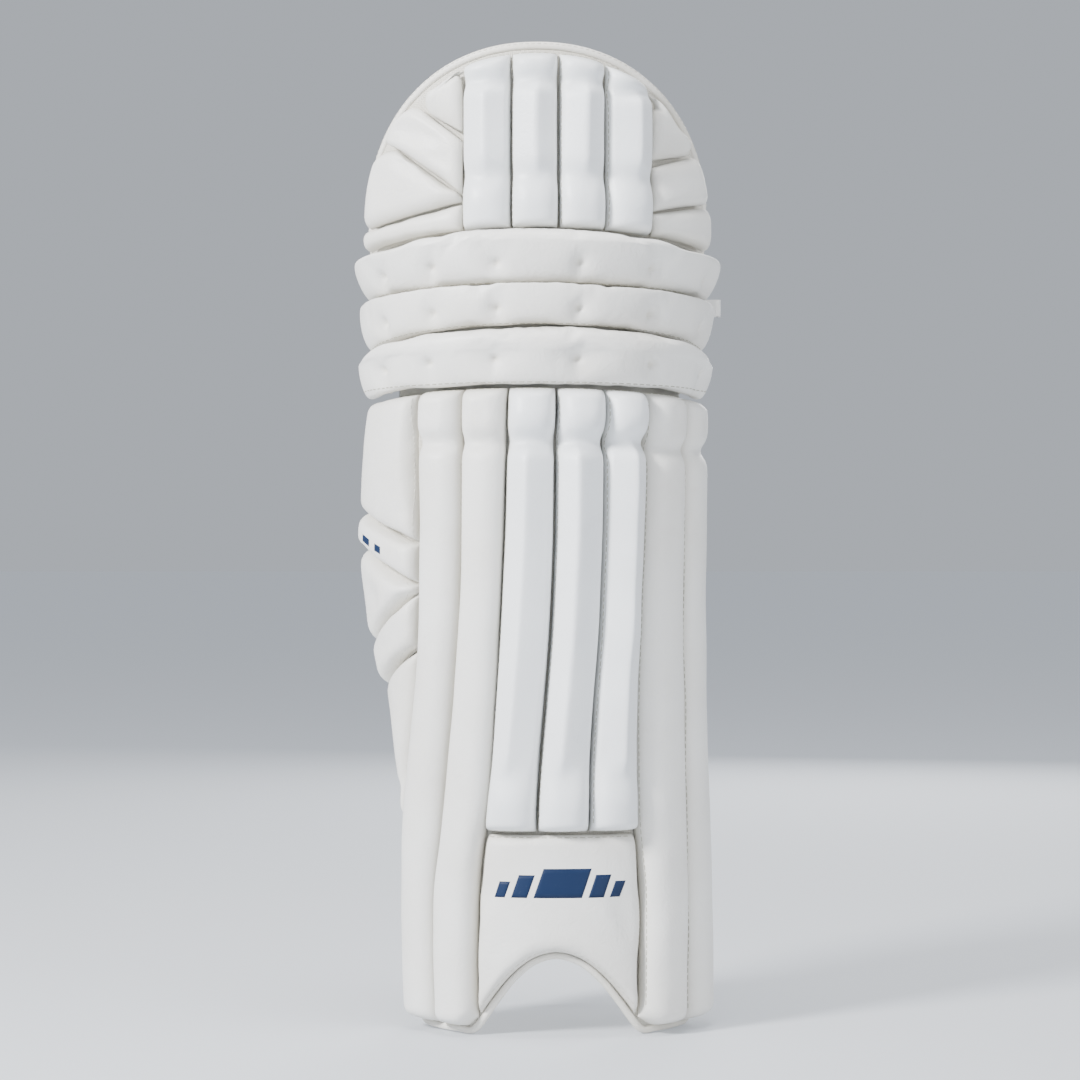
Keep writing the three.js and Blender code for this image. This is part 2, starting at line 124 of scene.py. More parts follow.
def fit_shell():
    """Levels 1 mm apart with the smoothed shell at each, measured from the boards' outer faces."""
    levels, fits = [], []
    for name in BODY_OF_BOARD:
        ends = outer_edges(name)
        low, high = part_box(name)
        start = 68 * MM if name == "shin_board" else low.z + 18 * MM
        stop = min(high.z - 8 * MM, 650 * MM)
        for z in np.arange(start, max(stop, start + MM), 6 * MM):
            a, b = ends[:, 0], ends[:, 1]
            hit = (a[:, 2] - z) * (b[:, 2] - z) < 0
            t = ((z - a[hit, 2]) / (b[hit, 2] - a[hit, 2]))[:, None]
            levels.append(z)
            fits.append(fit_level((a[hit] + (b[hit] - a[hit]) * t)[:, :2]))
    order = np.argsort(levels)
    levels, fits = np.array(levels)[order], np.array(fits)[order]
    fine = np.arange(-0.02, 0.72, MM)
    known = ~np.isnan(fits)
    values = [np.interp(fine, levels[known[:, k]], fits[known[:, k], k]) for k in range(5)]
    window = np.ones(25) / 25
    for _ in range(2):
        values = np.array([np.convolve(np.pad(v, 12, "edge"), window, "valid") for v in values])
    return fine, values


LEVELS, SHELL = fit_shell()


def shell_at(z):
    return [np.interp(z, LEVELS, row) for row in SHELL]


def wrap(s, z, h):
    """Shell coordinates to points in the frame; arrays of any one shape."""
    s, z, h = np.broadcast_arrays(np.asarray(s, float), z, h)
    centre, front_y, radius, left, right = shell_at(z)
    side, reach = np.where(s < 0, -1.0, 1.0), np.abs(s)
    small = np.where(s < 0, left, right)
    bend = radius * TURN
    angle = np.where(reach < bend, reach / radius, TURN + (reach - bend) / small)
    beyond = reach > bend
    x = np.where(beyond, radius * math.sin(TURN) + small * (np.sin(angle) - math.sin(TURN)),
                 radius * np.sin(angle))
    y = np.where(beyond, radius * (1 - math.cos(TURN)) + small * (math.cos(TURN) - np.cos(angle)),
                 radius * (1 - np.cos(angle)))
    return np.stack([centre + side * (x + h * np.sin(angle)), front_y + y - h * np.cos(angle), z], -1)


def unwrap(points):
    """Points in the frame to s, z, h."""
    p = np.asarray(points, float)
    z = p[..., 2]
    centre, front_y, radius, left, right = shell_at(z)
    x, y = p[..., 0] - centre, p[..., 1] - front_y - radius
    side = np.where(x < 0, -1.0, 1.0)
    small = np.where(x < 0, left, right)
    front = np.arctan2(np.abs(x), -y)
    ax, ay = np.abs(x) - (radius - small) * math.sin(TURN), y + (radius - small) * math.cos(TURN)
    flank = np.arctan2(ax, -ay)
    beyond = front > TURN
    s = np.where(beyond, radius * TURN + small * (flank - TURN), radius * front)
    h = np.where(beyond, np.hypot(ax, ay) - small, np.hypot(x, y) - radius)
    return np.stack([side * s, z, h], -1)


def facing(centre):
    """The shell's outward direction at a point."""
    s, z, h = unwrap(np.array(centre))
    step = wrap(s, z, h + MM) - wrap(s, z, h)
    return Vector(step / np.linalg.norm(step))


def rim(name, outward=False):
    """The edge of a node's back face, or of its outward face, as an ordered loop of (s, z, h)."""
    bm = node_bmesh(name)
    sign = 1 if outward else -1
    faces = [f for f in bm.faces if sign * f.normal.dot(facing(f.calc_center_median())) > 0.7]
    heights = {f: unwrap(np.array(f.calc_center_median()))[2] for f in faces}
    limit = (max if outward else min)(heights.values())
    chosen = {f for f in faces if abs(heights[f] - limit) < 3.5 * MM}
    after = {}
    for edge in bm.edges:
        mine = [f for f in edge.link_faces if f in chosen]
        if len(mine) == 1:
            a, b = edge.verts
            after.setdefault(a, []).append(b)
            after.setdefault(b, []).append(a)
    loops, seen = [], set()
    for first in after:
        if first in seen:
            continue
        loop, at = [], first
        while at is not None:
            seen.add(at)
            loop.append(at.co[:])
            at = next((v for v in after[at] if v not in seen), None)
        loops.append(unwrap(loop))
    bm.free()
    loop = max(loops, key=lambda loop: abs(shoelace(loop)))
    return loop[::-1] if shoelace(loop) < 0 else loop


def shoelace(loop):
    s, z = loop[:, 0], loop[:, 1]
    return 0.5 * np.sum(s * np.roll(z, -1) - z * np.roll(s, -1))


def sides_of(loop):
    """Splits a loop at its four corners: bottom, right, top and left, each from low to high u or v."""
    share = (loop[:, :2] - loop[:, :2].min(0)) / np.ptp(loop[:, :2], 0)
    corners = [int((share @ towards).argmax()) for towards in ((-1, -1), (1, -1), (1, 1), (-1, 1))]
    parts = []
    for a, b in zip(corners, corners[1:] + corners[:1]):
        span = np.arange(a, b + 1 if b > a else b + 1 + len(loop)) % len(loop)
        parts.append(loop[span])
    bottom, right, top, left = parts
    return bottom, right, top[::-1], left[::-1]


def steps_of(path):
    """Lengths of the steps along a path."""
    return np.linalg.norm(np.diff(path, axis=0), axis=1)


def along(curve, t):
    """Smooth curve through the points at shares t of its length."""
    steps = steps_of(curve[:, :2])
    knots = np.r_[0, np.cumsum(np.maximum(steps, 1e-9))]
    knots /= knots[-1]
    slopes = np.gradient(curve, knots, axis=0) if len(knots) > 2 else np.diff(curve, axis=0).repeat(2, 0)
    i = np.clip(np.searchsorted(knots, t, "right") - 1, 0, len(knots) - 2)
    d = (knots[i + 1] - knots[i])[:, None]
    w = ((t - knots[i]) / (knots[i + 1] - knots[i]))[:, None]
    return (curve[i] * (2 * w**3 - 3 * w**2 + 1) + curve[i + 1] * (3 * w**2 - 2 * w**3)
            + d * (slopes[i] * (w**3 - 2 * w**2 + w) + slopes[i + 1] * (w**3 - w**2)))


def patch(name, us, vs, outward=False):
    """A grid of (s, z, h) over a node's sewn face, rows upwards."""
    bottom, right, top, left = sides_of(rim(name, outward))
    us, vs = np.asarray(us), np.asarray(vs)
    b, t, l, r = along(bottom, us), along(top, us), along(left, vs), along(right, vs)
    u, v = us[None, :, None], vs[:, None, None]
    return ((1 - v) * b[None] + v * t[None] + (1 - u) * l[:, None] + u * r[:, None]
            - (1 - u) * (1 - v) * b[0] - u * (1 - v) * b[-1] - (1 - u) * v * t[0] - u * v * t[-1])


def scanned(name, count):
    """Low and high z of a node's face at count places from its left to its right: s, low, high."""
    loop = rim(name)
    s = np.linspace(loop[:, 0].min() + 0.3 * MM, loop[:, 0].max() - 0.3 * MM, count)
    after = np.roll(loop, -1, 0)
    low, high = [], []
    for at in s:
        hit = (loop[:, 0] - at) * (after[:, 0] - at) <= 0
        a, b = loop[hit], after[hit]
        t = (at - a[:, 0]) / np.where(np.abs(b[:, 0] - a[:, 0]) < 1e-9, 1e-9, b[:, 0] - a[:, 0])
        z = a[:, 1] + np.clip(t, 0, 1) * (b[:, 1] - a[:, 1])
        low.append(z.min())
        high.append(z.max())
    return s, np.array(low), np.array(high)


# ---- Making meshes ----
def surface(obj):
    return BVHTree.FromPolygons([v.co for v in obj.data.vertices],
                                [tuple(f.vertices) for f in obj.data.polygons])


def ring_faces(rows, count):
    """Quads between neighbouring closed rings of points."""
    return [(j * count + i, j * count + (i + 1) % count,
             (j + 1) * count + (i + 1) % count, (j + 1) * count + i)
            for j in range(rows - 1) for i in range(count)]


def rightwards(path):
    """The direction to the right of a path at each point, level in the shell."""
    ahead = np.gradient(path, axis=0)
    ahead /= np.linalg.norm(ahead[:, :2], axis=1, keepdims=True)
    return np.stack([ahead[:, 1], -ahead[:, 0], np.zeros(len(path))], -1)


def link(name, points, faces, smooth=True):
    mesh = bpy.data.meshes.new(name)
    mesh.from_pydata(np.asarray(points).tolist(), [], [tuple(int(i) for i in f) for f in faces])
    mesh.polygons.foreach_set("use_smooth", [smooth] * len(mesh.polygons))
    mesh.update()
    obj = bpy.data.objects.new(name, mesh)
    bpy.context.scene.collection.objects.link(obj)
    return obj


def share(obj, name, values):
    """Stores one number, or one vector, for each point."""
    values = np.asarray(values, np.float32)
    kind, field = ("FLOAT", "value") if values.ndim == 1 else ("FLOAT_VECTOR", "vector")
    layer = obj.data.attributes.get(name) or obj.data.attributes.new(name, kind, "POINT")
    layer.data.foreach_set(field, values.ravel())


def closed(name, front, back):
    """A closed body from a front grid and a back grid in shell coordinates that share their rim."""
    rows, cols = front.shape[:2]
    outer = np.arange(rows * cols).reshape(rows, cols)
    inner = outer.copy()
    inner[1:-1, 1:-1] = rows * cols + np.arange((rows - 2) * (cols - 2)).reshape(rows - 2, cols - 2)
    faces = []
    for j in range(rows - 1):
        for i in range(cols - 1):
            faces.append((outer[j, i], outer[j, i + 1], outer[j + 1, i + 1], outer[j + 1, i]))
            faces.append((inner[j, i], inner[j + 1, i], inner[j + 1, i + 1], inner[j, i + 1]))
    flat = np.concatenate([front.reshape(-1, 3), back[1:-1, 1:-1].reshape(-1, 3)])
    obj = link(name, wrap(flat[:, 0], flat[:, 1], flat[:, 2]), faces)
    reach = np.minimum(np.arange(cols), cols - 1 - np.arange(cols))[None, :]
    climb = np.minimum(np.arange(rows), rows - 1 - np.arange(rows))[:, None]
    edge = np.exp(-np.minimum(reach, climb) / 1.6).ravel()
    share(obj, "seam_tone_and_pit_shade", np.r_[edge, np.ones(len(flat) - rows * cols)])
    share(obj, "flat", flat)
    return obj


def bunched(n, power=1.0):
    """n + 1 stops from 0 to 1, closer together at both ends."""
    t = np.linspace(0, 1, n + 1)
    return (1 - power) * t + power * (0.5 - 0.5 * np.cos(math.pi * t))


def unevenness(shape, seed, across, up):
    """Gentle repeatable waves over a grid, about -1 to 1."""
    draw = np.random.default_rng(seed)
    y, x = np.linspace(0, 1, shape[0])[:, None], np.linspace(0, 1, shape[1])[None, :]
    total = np.zeros(shape)
    for _ in range(7):
        fx, fy = draw.uniform(-across, across), draw.uniform(-up, up)
        total += np.cos(2 * math.pi * (fx * x + fy * y) + draw.uniform(0, 2 * math.pi))
    return total / 4


def refine(obj, levels=1):
    """Subdivides smoothly, applied to the mesh."""
    modifier = obj.modifiers.new("fine", "SUBSURF")
    modifier.levels = modifier.render_levels = levels
    mesh = bpy.data.meshes.new_from_object(obj.evaluated_get(bpy.context.evaluated_depsgraph_get()))
    obj.modifiers.remove(modifier)
    old, obj.data = obj.data, mesh
    bpy.data.meshes.remove(old)
    mesh.polygons.foreach_set("use_smooth", [True] * len(mesh.polygons))
    return obj


def finished(obj, body, coat, nodes=()):
    """Material, body, and hiding the CAD parts that the piece stands for."""
    obj.data.materials.clear()
    obj.data.materials.append(coat)
    if body:
        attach(obj, body)
    if nodes:
        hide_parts(*nodes)
    return obj


# ---- Materials ----
class Look:
    """A small helper that wires one node material."""

    def __init__(self, name):
        self.material = bpy.data.materials.new(name)
        self.material.use_nodes = True
        self.tree = self.material.node_tree
        self.shader = self.tree.nodes["Principled BSDF"]

    def add(self, kind, inputs=(), out=0, **settings):
        node = self.tree.nodes.new("ShaderNode" + kind)
        for key, value in settings.items():
            setattr(node, key, value)
        for key, value in dict(inputs).items():
            self.put(node.inputs[key], value)
        return node.outputs[out]

    def put(self, socket, value):
        if isinstance(value, bpy.types.NodeSocket):
            self.tree.links.new(value, socket)
        else:
            socket.default_value = value

    def maths(self, operation, a, b=0.0):
        return self.add("Math", {0: a, 1: b}, operation=operation)

    def place(self):
        return self.add("TexCoord", out="Object")

    def flat(self):
        """The piece's own flat coordinates."""
        return self.add("Attribute", attribute_name="flat", out="Vector")

    def split(self, vector):
        node = self.tree.nodes.new("ShaderNodeSeparateXYZ")
        self.put(node.inputs[0], vector)
        return node.outputs

    def wave(self, value, rate):
        """Rounded ribs: the size of a sine."""
        return self.maths("ABSOLUTE", self.maths("SINE", self.maths("MULTIPLY", value, rate)))

    def noise(self, vector, scale, detail=2.0, distortion=0.0):
        return self.add("TexNoise", {"Vector": vector, "Scale": scale, "Detail": detail,
                                     "Distortion": distortion})

    def fit(self, value, low, high, to_low=0.0, to_high=1.0):
        return self.add("MapRange", {"Value": value, 1: low, 2: high, 3: to_low, 4: to_high})

    def mix(self, share, a, b):
        node = self.tree.nodes.new("ShaderNodeMix")
        node.data_type = "RGBA"
        for socket, value in ((node.inputs[0], share), (node.inputs[6], a), (node.inputs[7], b)):
            self.put(socket, value)
        return node.outputs[2]

    def bump(self, height, strength, distance, before=None):
        inputs = {"Height": height, "Strength": strength, "Distance": distance}
        if before is not None:
            inputs["Normal"] = before
        return self.add("Bump", inputs)

    def finish(self, colour, roughness, normal=None, **numbers):
        self.put(self.shader.inputs["Base Color"], colour)
        self.put(self.shader.inputs["Roughness"], roughness)
        if normal is not None:
            self.put(self.shader.inputs["Normal"], normal)
        for key, value in numbers.items():
            self.shader.inputs[key.replace("_", " ")].default_value = value
        return self.material


def paint(base, shares=(1, 1, 1)):
    """A colour for a socket, each channel scaled by its share."""
    return (*(c * k for c, k in zip(base, shares)), 1.0)


def darker(base, share):
    return paint(base, (share, share, share))


def leather(name, base, shade, rough, wrinkle=0.35):
    """Coated leather: fine pebbled grain, soft wrinkles, a darker, creamier edge by the seams, painted shade
    in the tack pits, and rubbed patches.
    """
    look = Look(name)
    place = look.place()
    seam_tone_and_pit_shade = look.add("Attribute", attribute_name="seam_tone_and_pit_shade", out="Fac")
    cloud = look.noise(place, 16, 4)
    patchy = look.noise(place, 55, 5, 0.6)
    grain = look.add("TexVoronoi", {"Vector": place, "Scale": 1150}, feature="SMOOTH_F1")
    pores = look.noise(place, 2600, 2)
    creases = look.noise(place, 120, 6, 1.8)
    colour = look.mix(look.fit(cloud, 0.38, 0.66), paint(base), paint(shade))
    rubbed = look.fit(look.maths("MULTIPLY", patchy, cloud), 0.30, 0.42, 0.0, 0.35)
    colour = look.mix(rubbed, colour, darker(shade, 0.94))
    # Darker and creamier where the attribute is high: by the seams, and as painted shade in the tack pits.
    colour = look.mix(look.maths("MULTIPLY", seam_tone_and_pit_shade, 0.75), colour, paint(base, (0.80, 0.77, 0.70)))
    roughness = look.maths("ADD", look.fit(patchy, 0.3, 0.7, rough - 0.05, rough + 0.07),
                           look.maths("MULTIPLY", seam_tone_and_pit_shade, 0.12))
    normal = look.bump(grain, 0.18, 0.0004)
    normal = look.bump(pores, 0.08, 0.0002, normal)
    normal = look.bump(creases, wrinkle, 0.0012, normal)
    return look.finish(colour, roughness, normal, IOR=1.46, Coat_Weight=0.06, Coat_Roughness=0.35)


def woven(name, base, pitch, rough=0.85, depth=0.0003, dirt=0.5):
    """Plain weave that follows the piece's own flat coordinates."""
    look = Look(name)
    place = look.place()
    parts = look.split(look.add("VectorMath", {0: look.flat(), "Scale": 1 / pitch}, operation="SCALE"))
    over, under = (look.wave(parts[k], math.pi) for k in (0, 1))
    level = look.add("CombineXYZ", {"X": parts[0], "Y": parts[1], "Z": 0.5})
    turn = look.add("TexChecker", {"Vector": level, "Scale": 1.0}, out="Fac")
    height = look.maths("ADD", look.maths("MULTIPLY", over, turn),
                        look.maths("MULTIPLY", under, look.maths("SUBTRACT", 1.0, turn)))
    fluff = look.noise(place, 900, 4)
    cloud = look.noise(place, 22, 4)
    colour = look.mix(look.fit(height, 0.1, 0.9), darker(base, 0.80), paint(base))
    colour = look.mix(look.fit(cloud, 0.4, 0.7, 0.0, dirt), colour, paint(base, (0.88, 0.86, 0.80)))
    normal = look.bump(height, 0.7, depth)
    normal = look.bump(fluff, 0.25, depth, normal)
    return look.finish(colour, rough, normal, Sheen_Weight=0.25, Sheen_Roughness=0.5)


def ribbed(name, base, pitch):
    """Elastic webbing: ribs across the strap, fine cords along it."""
    look = Look(name)
    place = look.place()
    parts = look.split(look.flat())
    rib = look.wave(parts[0], math.pi / pitch)
    cord = look.wave(parts[1], math.pi / (0.7 * pitch))
    height = look.maths("ADD", look.maths("MULTIPLY", rib, 0.7), look.maths("MULTIPLY", cord, 0.3))
    cloud = look.noise(place, 30, 4)
    colour = look.mix(height, darker(base, 0.72), paint(base))
    colour = look.mix(look.fit(cloud, 0.42, 0.7, 0.0, 0.4), colour, darker(base, 0.86))
    normal = look.bump(height, 0.8, 0.0004)
    normal = look.bump(look.noise(place, 1500, 3), 0.2, 0.0002, normal)
    return look.finish(colour, 0.8, normal, Sheen_Weight=0.2, Sheen_Roughness=0.5)


def fuzzy(name, base, scale, depth):
    """Hook or loop tape: a dense field of little loops."""
    look = Look(name)
    place = look.place()
    loops = look.add("TexVoronoi", {"Vector": place, "Scale": scale})
    cloud = look.noise(place, 200, 5)
    colour = look.mix(look.fit(loops, 0.1, 0.6), paint(base), darker(base, 0.7))
    normal = look.bump(loops, 0.9, depth)
    normal = look.bump(cloud, 0.4, depth, normal)
    return look.finish(colour, 0.95, normal, Sheen_Weight=0.4, Sheen_Roughness=0.6)


def plain_thread(name, base):
    look = Look(name)
    place = look.place()
    twist = look.add("TexWave", {"Vector": place, "Scale": 900, "Distortion": 2.0},
                     bands_direction="DIAGONAL")
    colour = look.mix(look.fit(twist, 0.0, 1.0, 0.0, 0.5), paint(base), darker(base, 0.7))
    return look.finish(colour, 0.6, look.bump(twist, 0.5, 0.0002))


def printed(name, base):
    """Screen print on leather: a thin satin film with tiny worn spots."""
    look = Look(name)
    place = look.place()
    worn = look.fit(look.noise(place, 420, 6), 0.66, 0.78, 0.0, 0.3)
    colour = look.mix(worn, paint(base), paint([0.1 + 0.6 * c for c in base]))
    normal = look.bump(look.noise(place, 1800, 2), 0.1, 0.0002)
    roughness = look.fit(look.noise(place, 60, 3), 0.3, 0.7, 0.42, 0.55)
    return look.finish(colour, roughness, normal, Specular_IOR_Level=0.25)


def raw_cane(name):
    look = Look(name)
    place = look.place()
    stretched = look.add("Mapping", {"Vector": place, "Scale": (60, 60, 3)})
    fibre = look.noise(stretched, 12, 6, 0.4)
    colour = look.mix(look.fit(fibre, 0.3, 0.7), paint((0.50, 0.36, 0.17)), paint((0.66, 0.52, 0.30)))
    return look.finish(colour, 0.55, look.bump(fibre, 0.4, 0.0004))


COOL = leather("cool_leather", (0.84, 0.865, 0.885), (0.80, 0.82, 0.84), 0.40, 0.22)
WARM = leather("warm_leather", (0.83, 0.825, 0.80), (0.78, 0.765, 0.73), 0.44, 0.35)
EDGING = leather("edge_leather", (0.80, 0.78, 0.73), (0.74, 0.71, 0.64), 0.46, 0.4)
LINING = woven("lining_weave", (0.77, 0.745, 0.675), 0.0014, depth=0.0005)
GUSSET = woven("gusset_weave", (0.60, 0.59, 0.55), 0.0009)
WEBBING = ribbed("webbing_rib", (0.82, 0.81, 0.78), 0.0019)
HOOKS = fuzzy("hook_field", (0.66, 0.65, 0.62), 1500, 0.0006)
LOOPS = fuzzy("loop_field", (0.74, 0.73, 0.70), 800, 0.0008)
LABEL = woven("label_weave", (0.84, 0.84, 0.83), 0.0004, 0.7, 0.0001, 0.2)
THREAD = plain_thread("seam_thread", (0.42, 0.41, 0.33))
PALE_THREAD = plain_thread("pale_thread", (0.72, 0.70, 0.64))
NAVY = printed("navy_print", (0.004, 0.016, 0.055))
CANE = raw_cane("raw_cane")


# ---- Shapes of the padding ----
def tall(node):
    """How far a node stands from its sewn face."""
    points = np.array([v.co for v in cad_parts[node].data.vertices])
    return float(np.ptp(unwrap(points)[:, 2]))


def stops(length, fine, coarse, reach):
    """Shares of a length, closer together within reach of both ends."""
    near = np.cumsum(np.linspace(0.35, 1, max(2, round(2 * reach / (fine + coarse)))) * coarse)
    near = np.r_[0, near / near[-1] * reach]
    count = max(1, round((length - 2 * reach) / coarse))
    middle = np.linspace(reach, length - reach, count + 1)
    return np.r_[near[:-1], middle, (length - near[:-1])[::-1]] / length


def rounded(u, power=2.5):
    return np.maximum(0, 1 - np.abs(2 * u - 1) ** power) ** (1 / power)


def gabled(u, ridge):
    """Steep sewn-in sides, then two flat facets that meet at the ridge."""
    wall, sill = 0.12, 0.62
    rise = np.where(u < ridge, (u - wall) / (ridge - wall), (1 - wall - u) / (1 - wall - ridge))
    edge = np.minimum(u, 1 - u) / wall
    side = sill * np.sin(np.clip(edge, 0, 1) * math.pi / 2) ** 0.75
    crest = 0.5 * (rise + 1 - np.sqrt((rise - 1) ** 2 + 0.0009))
    return np.where(edge < 1, side, sill + (1 - sill) * np.clip(crest, 0, 1))


def swell(z, at, width):
    return np.exp(-(((z - at) / width) ** 2))


def step(value, low, high):
    t = np.clip((value - low) / (high - low), 0, 1)
    return t * t * (3 - 2 * t)


def quarter(distance, radius):
    t = np.clip(distance / radius, 0, 1)
    return np.sqrt(np.maximum(0, 1 - (1 - t) ** 2))


def upright_roll(node, body, coat, ridge, facet_span, dips, bulges, seed):
    """A long vertical roll: rounded ends, a knob at the top and, on ridged rolls, two facets."""
    low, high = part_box(node)
    length = high.z - low.z
    us, vs = bunched(20, 0.55), stops(length, 1.4 * MM, 4 * MM, 18 * MM)
    back = patch(node, us, vs)
    u = np.broadcast_to(us[None, :], back.shape[:2])
    z = back[..., 1]
    peak = tall(node) - 0.5 * MM
    full = rounded(u) * (0.80 if ridge else 1.0)
    if ridge:
        flat_share = step(z, facet_span[0] - 9 * MM, facet_span[0] + 9 * MM) * (
            1 - step(z, facet_span[1] - 4 * MM, facet_span[1] + 5 * MM))
        full = full * (1 - flat_share) + gabled(u, ridge) * flat_share
    for at, width, depth in dips:
        full = full * (1 - depth * swell(z, at, width))
    for at, width, gain in bulges:
        full = full * (1 + gain * swell(z, at, width))
    ends = (quarter(z - back[0, :, 1][None], (6 if ridge else 9) * MM)
            * quarter(back[-1, :, 1][None] - z, 8 * MM))
    wave = 1 + 0.018 * unevenness(u.shape, seed, 1.2, length / (42 * MM))
    height = peak * np.minimum(full * wave, 1.0) * ends
    drift = unevenness(u.shape, seed + 50, 0.4, length / (70 * MM)) * rounded(u) * 0.5 * MM
    front = back.copy()
    front[..., 2] += height
    front[..., 0] += drift + (2 * u - 1) * 0.55 * MM * np.sin(np.clip(height / peak, 0, 1) * math.pi * 0.6)
    pinch = sum(depth * swell(z, at, 1.2 * width) for at, width, depth in dips)
    front[..., 0] -= (2 * u - 1) * np.abs(2 * u - 1) * 3.2 * MM * pinch * step(height, 0, 5 * MM)
    obj = closed(node + ".cover", front, back)
    refine(obj)
    return finished(obj, body, coat, [node])


def cushion(node, body, coat, peak=0.95, edge=9 * MM, tacks=(), cap=3 * MM, inward=False,
            pressure=4.0, slack=0.03, seed=0, mesh=4.5 * MM, tube=False,
            spread=(0, 0, 0), hang=(0, 0), lean=0.0, ends=(0, 0)):
    """A sewn cushion: its back and rim are held, and the fabric between is blown out and puckers.
    A tube is round from its lower to its upper seam, and blunt at both ends. Spread is how far it
    overhangs its rim across, up and down, and more up and down at its ends, and hang how much
    further it does below, in its middle and at its ends. Lean draws the upper corners of its ends
    in. Ends is how much fuller its ends are, and how much more so at their lower corners."""
    rough = patch(node, [0, 0.5, 1], [0, 0.5, 1], inward)
    width, length = (float(np.abs(rough[1, 2, 0] - rough[1, 0, 0])), float(rough[2, 1, 1] - rough[0, 1, 1]))
    us = stops(width, 1.5 * MM, mesh, min(edge, 0.3 * width))
    vs = bunched(max(10, round(length / (0.7 * mesh))), 0.6) if tube else stops(
        length, 1.5 * MM, mesh, min(edge, 0.3 * length))
    base = patch(node, us, vs, inward)
    u, v = np.meshgrid(us, vs)
    wide = np.linalg.norm(base[:, -1, :2] - base[:, 0, :2], axis=1)[:, None]
    long = np.linalg.norm(base[-1, :, :2] - base[0, :, :2], axis=1)[None, :]
    crown = quarter(np.minimum(u, 1 - u) * wide, np.minimum(edge, 0.5 * wide))
    crown = crown * (rounded(v, 2.3) if tube else
                     quarter(np.minimum(v, 1 - v) * long, np.minimum(edge, 0.5 * long)))
    for s, z, radius, depth in tacks:
        gap = np.hypot(base[..., 0] - s, base[..., 1] - z)
        crown = crown * (1 - depth * np.exp(-((gap / radius) ** 2)))
    crown = crown * (1 + 0.02 * unevenness(crown.shape, seed, 3, 2))
    end = np.abs(2 * u - 1) ** 6
    crown = crown * (1 + end * (ends[0] - ends[1] * (2 * v - 1)))
    raised = base.copy()
    raised[..., 2] += (-1 if inward else 1) * crown * (tall(node) - 0.4 * MM) * peak
    raised[..., 0] += (2 * u - 1) * spread[0] * np.sin(crown * math.pi / 2)
    billow = np.sin(np.clip(crown, 0, 1) * math.pi * 0.62)
    raised[..., 1] += (2 * v - 1) * (spread[1] + spread[2] * np.abs(2 * u - 1) ** 2) * billow
    raised[..., 1] -= (hang[0] + hang[1] * end) * (1 - v) * billow
    raised[..., 0] *= 1 - lean * (v - 0.3)
    if tube:
        corner = (2 * u - 1) ** 24 * (2 * v - 1) ** 2
        raised[..., 0] -= np.sign(u - 0.5) * 6 * MM * corner
    front, back = (base, raised) if inward else (raised, base)
    obj = closed(node + ".cover", front, back)
    held = np.ones(len(obj.data.vertices))
    free = np.ones(crown.shape, bool)
    free[[0, -1]] = free[:, [0, -1]] = False
    for s, z, radius, depth in tacks:
        free &= np.hypot(base[..., 0] - s, base[..., 1] - z) > 0.5 * radius
    if inward:
        held[crown.size:] = np.where(free[1:-1, 1:-1].ravel(), 0, 1)
    else:
        held[:crown.size] = np.where(free.ravel(), 0, 1)
    sew(obj, held, pressure, cap, slack)
    waiting.append((obj, body))
    return finished(obj, None, coat, [node])


# ---- Cloth ----
SEWN = []


def sew(obj, held, pressure, cap, slack):
    """Puts Cloth on a cushion; blow_out() runs them all together."""
    if not SIMULATE:
        return
    group = obj.vertex_groups.new(name="sewn")
    group.add([int(i) for i in np.flatnonzero(held > 0.5)], 1.0, "REPLACE")
    cloth = obj.modifiers.new("cloth", "CLOTH")
    settings = cloth.settings
    settings.quality = 5
    settings.mass = 0.25
    settings.tension_stiffness = settings.compression_stiffness = 24
    settings.shear_stiffness = 9
    settings.bending_stiffness = 0.4
    settings.air_damping = 3
    settings.vertex_group_mass = group.name
    settings.shrink_min = -slack
    settings.use_pressure = True
    settings.uniform_pressure_force = pressure
    settings.effector_weights.gravity = 0
    cloth.point_cache.frame_start, cloth.point_cache.frame_end = 1, CLOTH_FRAMES
    SEWN.append((obj, np.array([v.co for v in obj.data.vertices]), cap))


def blow_out():
    """Steps every cushion's cloth, limits how far each point moved, and applies the result."""
    if SEWN:
        for number in range(1, CLOTH_FRAMES + 1):
            bpy.context.scene.frame_set(number)
    for obj, before, cap in SEWN:
        evaluated = obj.evaluated_get(bpy.context.evaluated_depsgraph_get())
        moved = np.array([v.co for v in evaluated.data.vertices]) - before
        length = np.linalg.norm(moved, axis=1, keepdims=True)
        moved *= cap * np.tanh(length / cap) / np.maximum(length, 1e-9)
        obj.modifiers.clear()
        obj.vertex_groups.clear()
        obj.data.vertices.foreach_set("co", (before + moved).ravel())
        obj.data.update()
    bpy.context.scene.frame_set(1)


# ---- The shin rolls ----
shin_low, shin_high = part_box("shin_roll_4")
KNOB_DIP = shin_high.z - 38 * MM
RIDGES = {3: 0.42, 4: 0.38, 5: 0.56}
for number in range(1, 8):
    ridge = RIDGES.get(number)
    dip = KNOB_DIP - (4 * MM if number > 5 else 0)
    upright_roll(f"shin_roll_{number}", "shin", COOL if ridge else WARM,
                 ridge,
                 (shin_low.z + 44 * MM, KNOB_DIP - 2 * MM),
                 [(dip, 5.5 * MM, 0.44 if ridge else 0.32)],
                 [(dip + 18 * MM, 11 * MM, 0.16), (shin_low.z + 22 * MM, 14 * MM, 0.14)]
                 if ridge else [(dip + 18 * MM, 11 * MM, 0.04)], number)

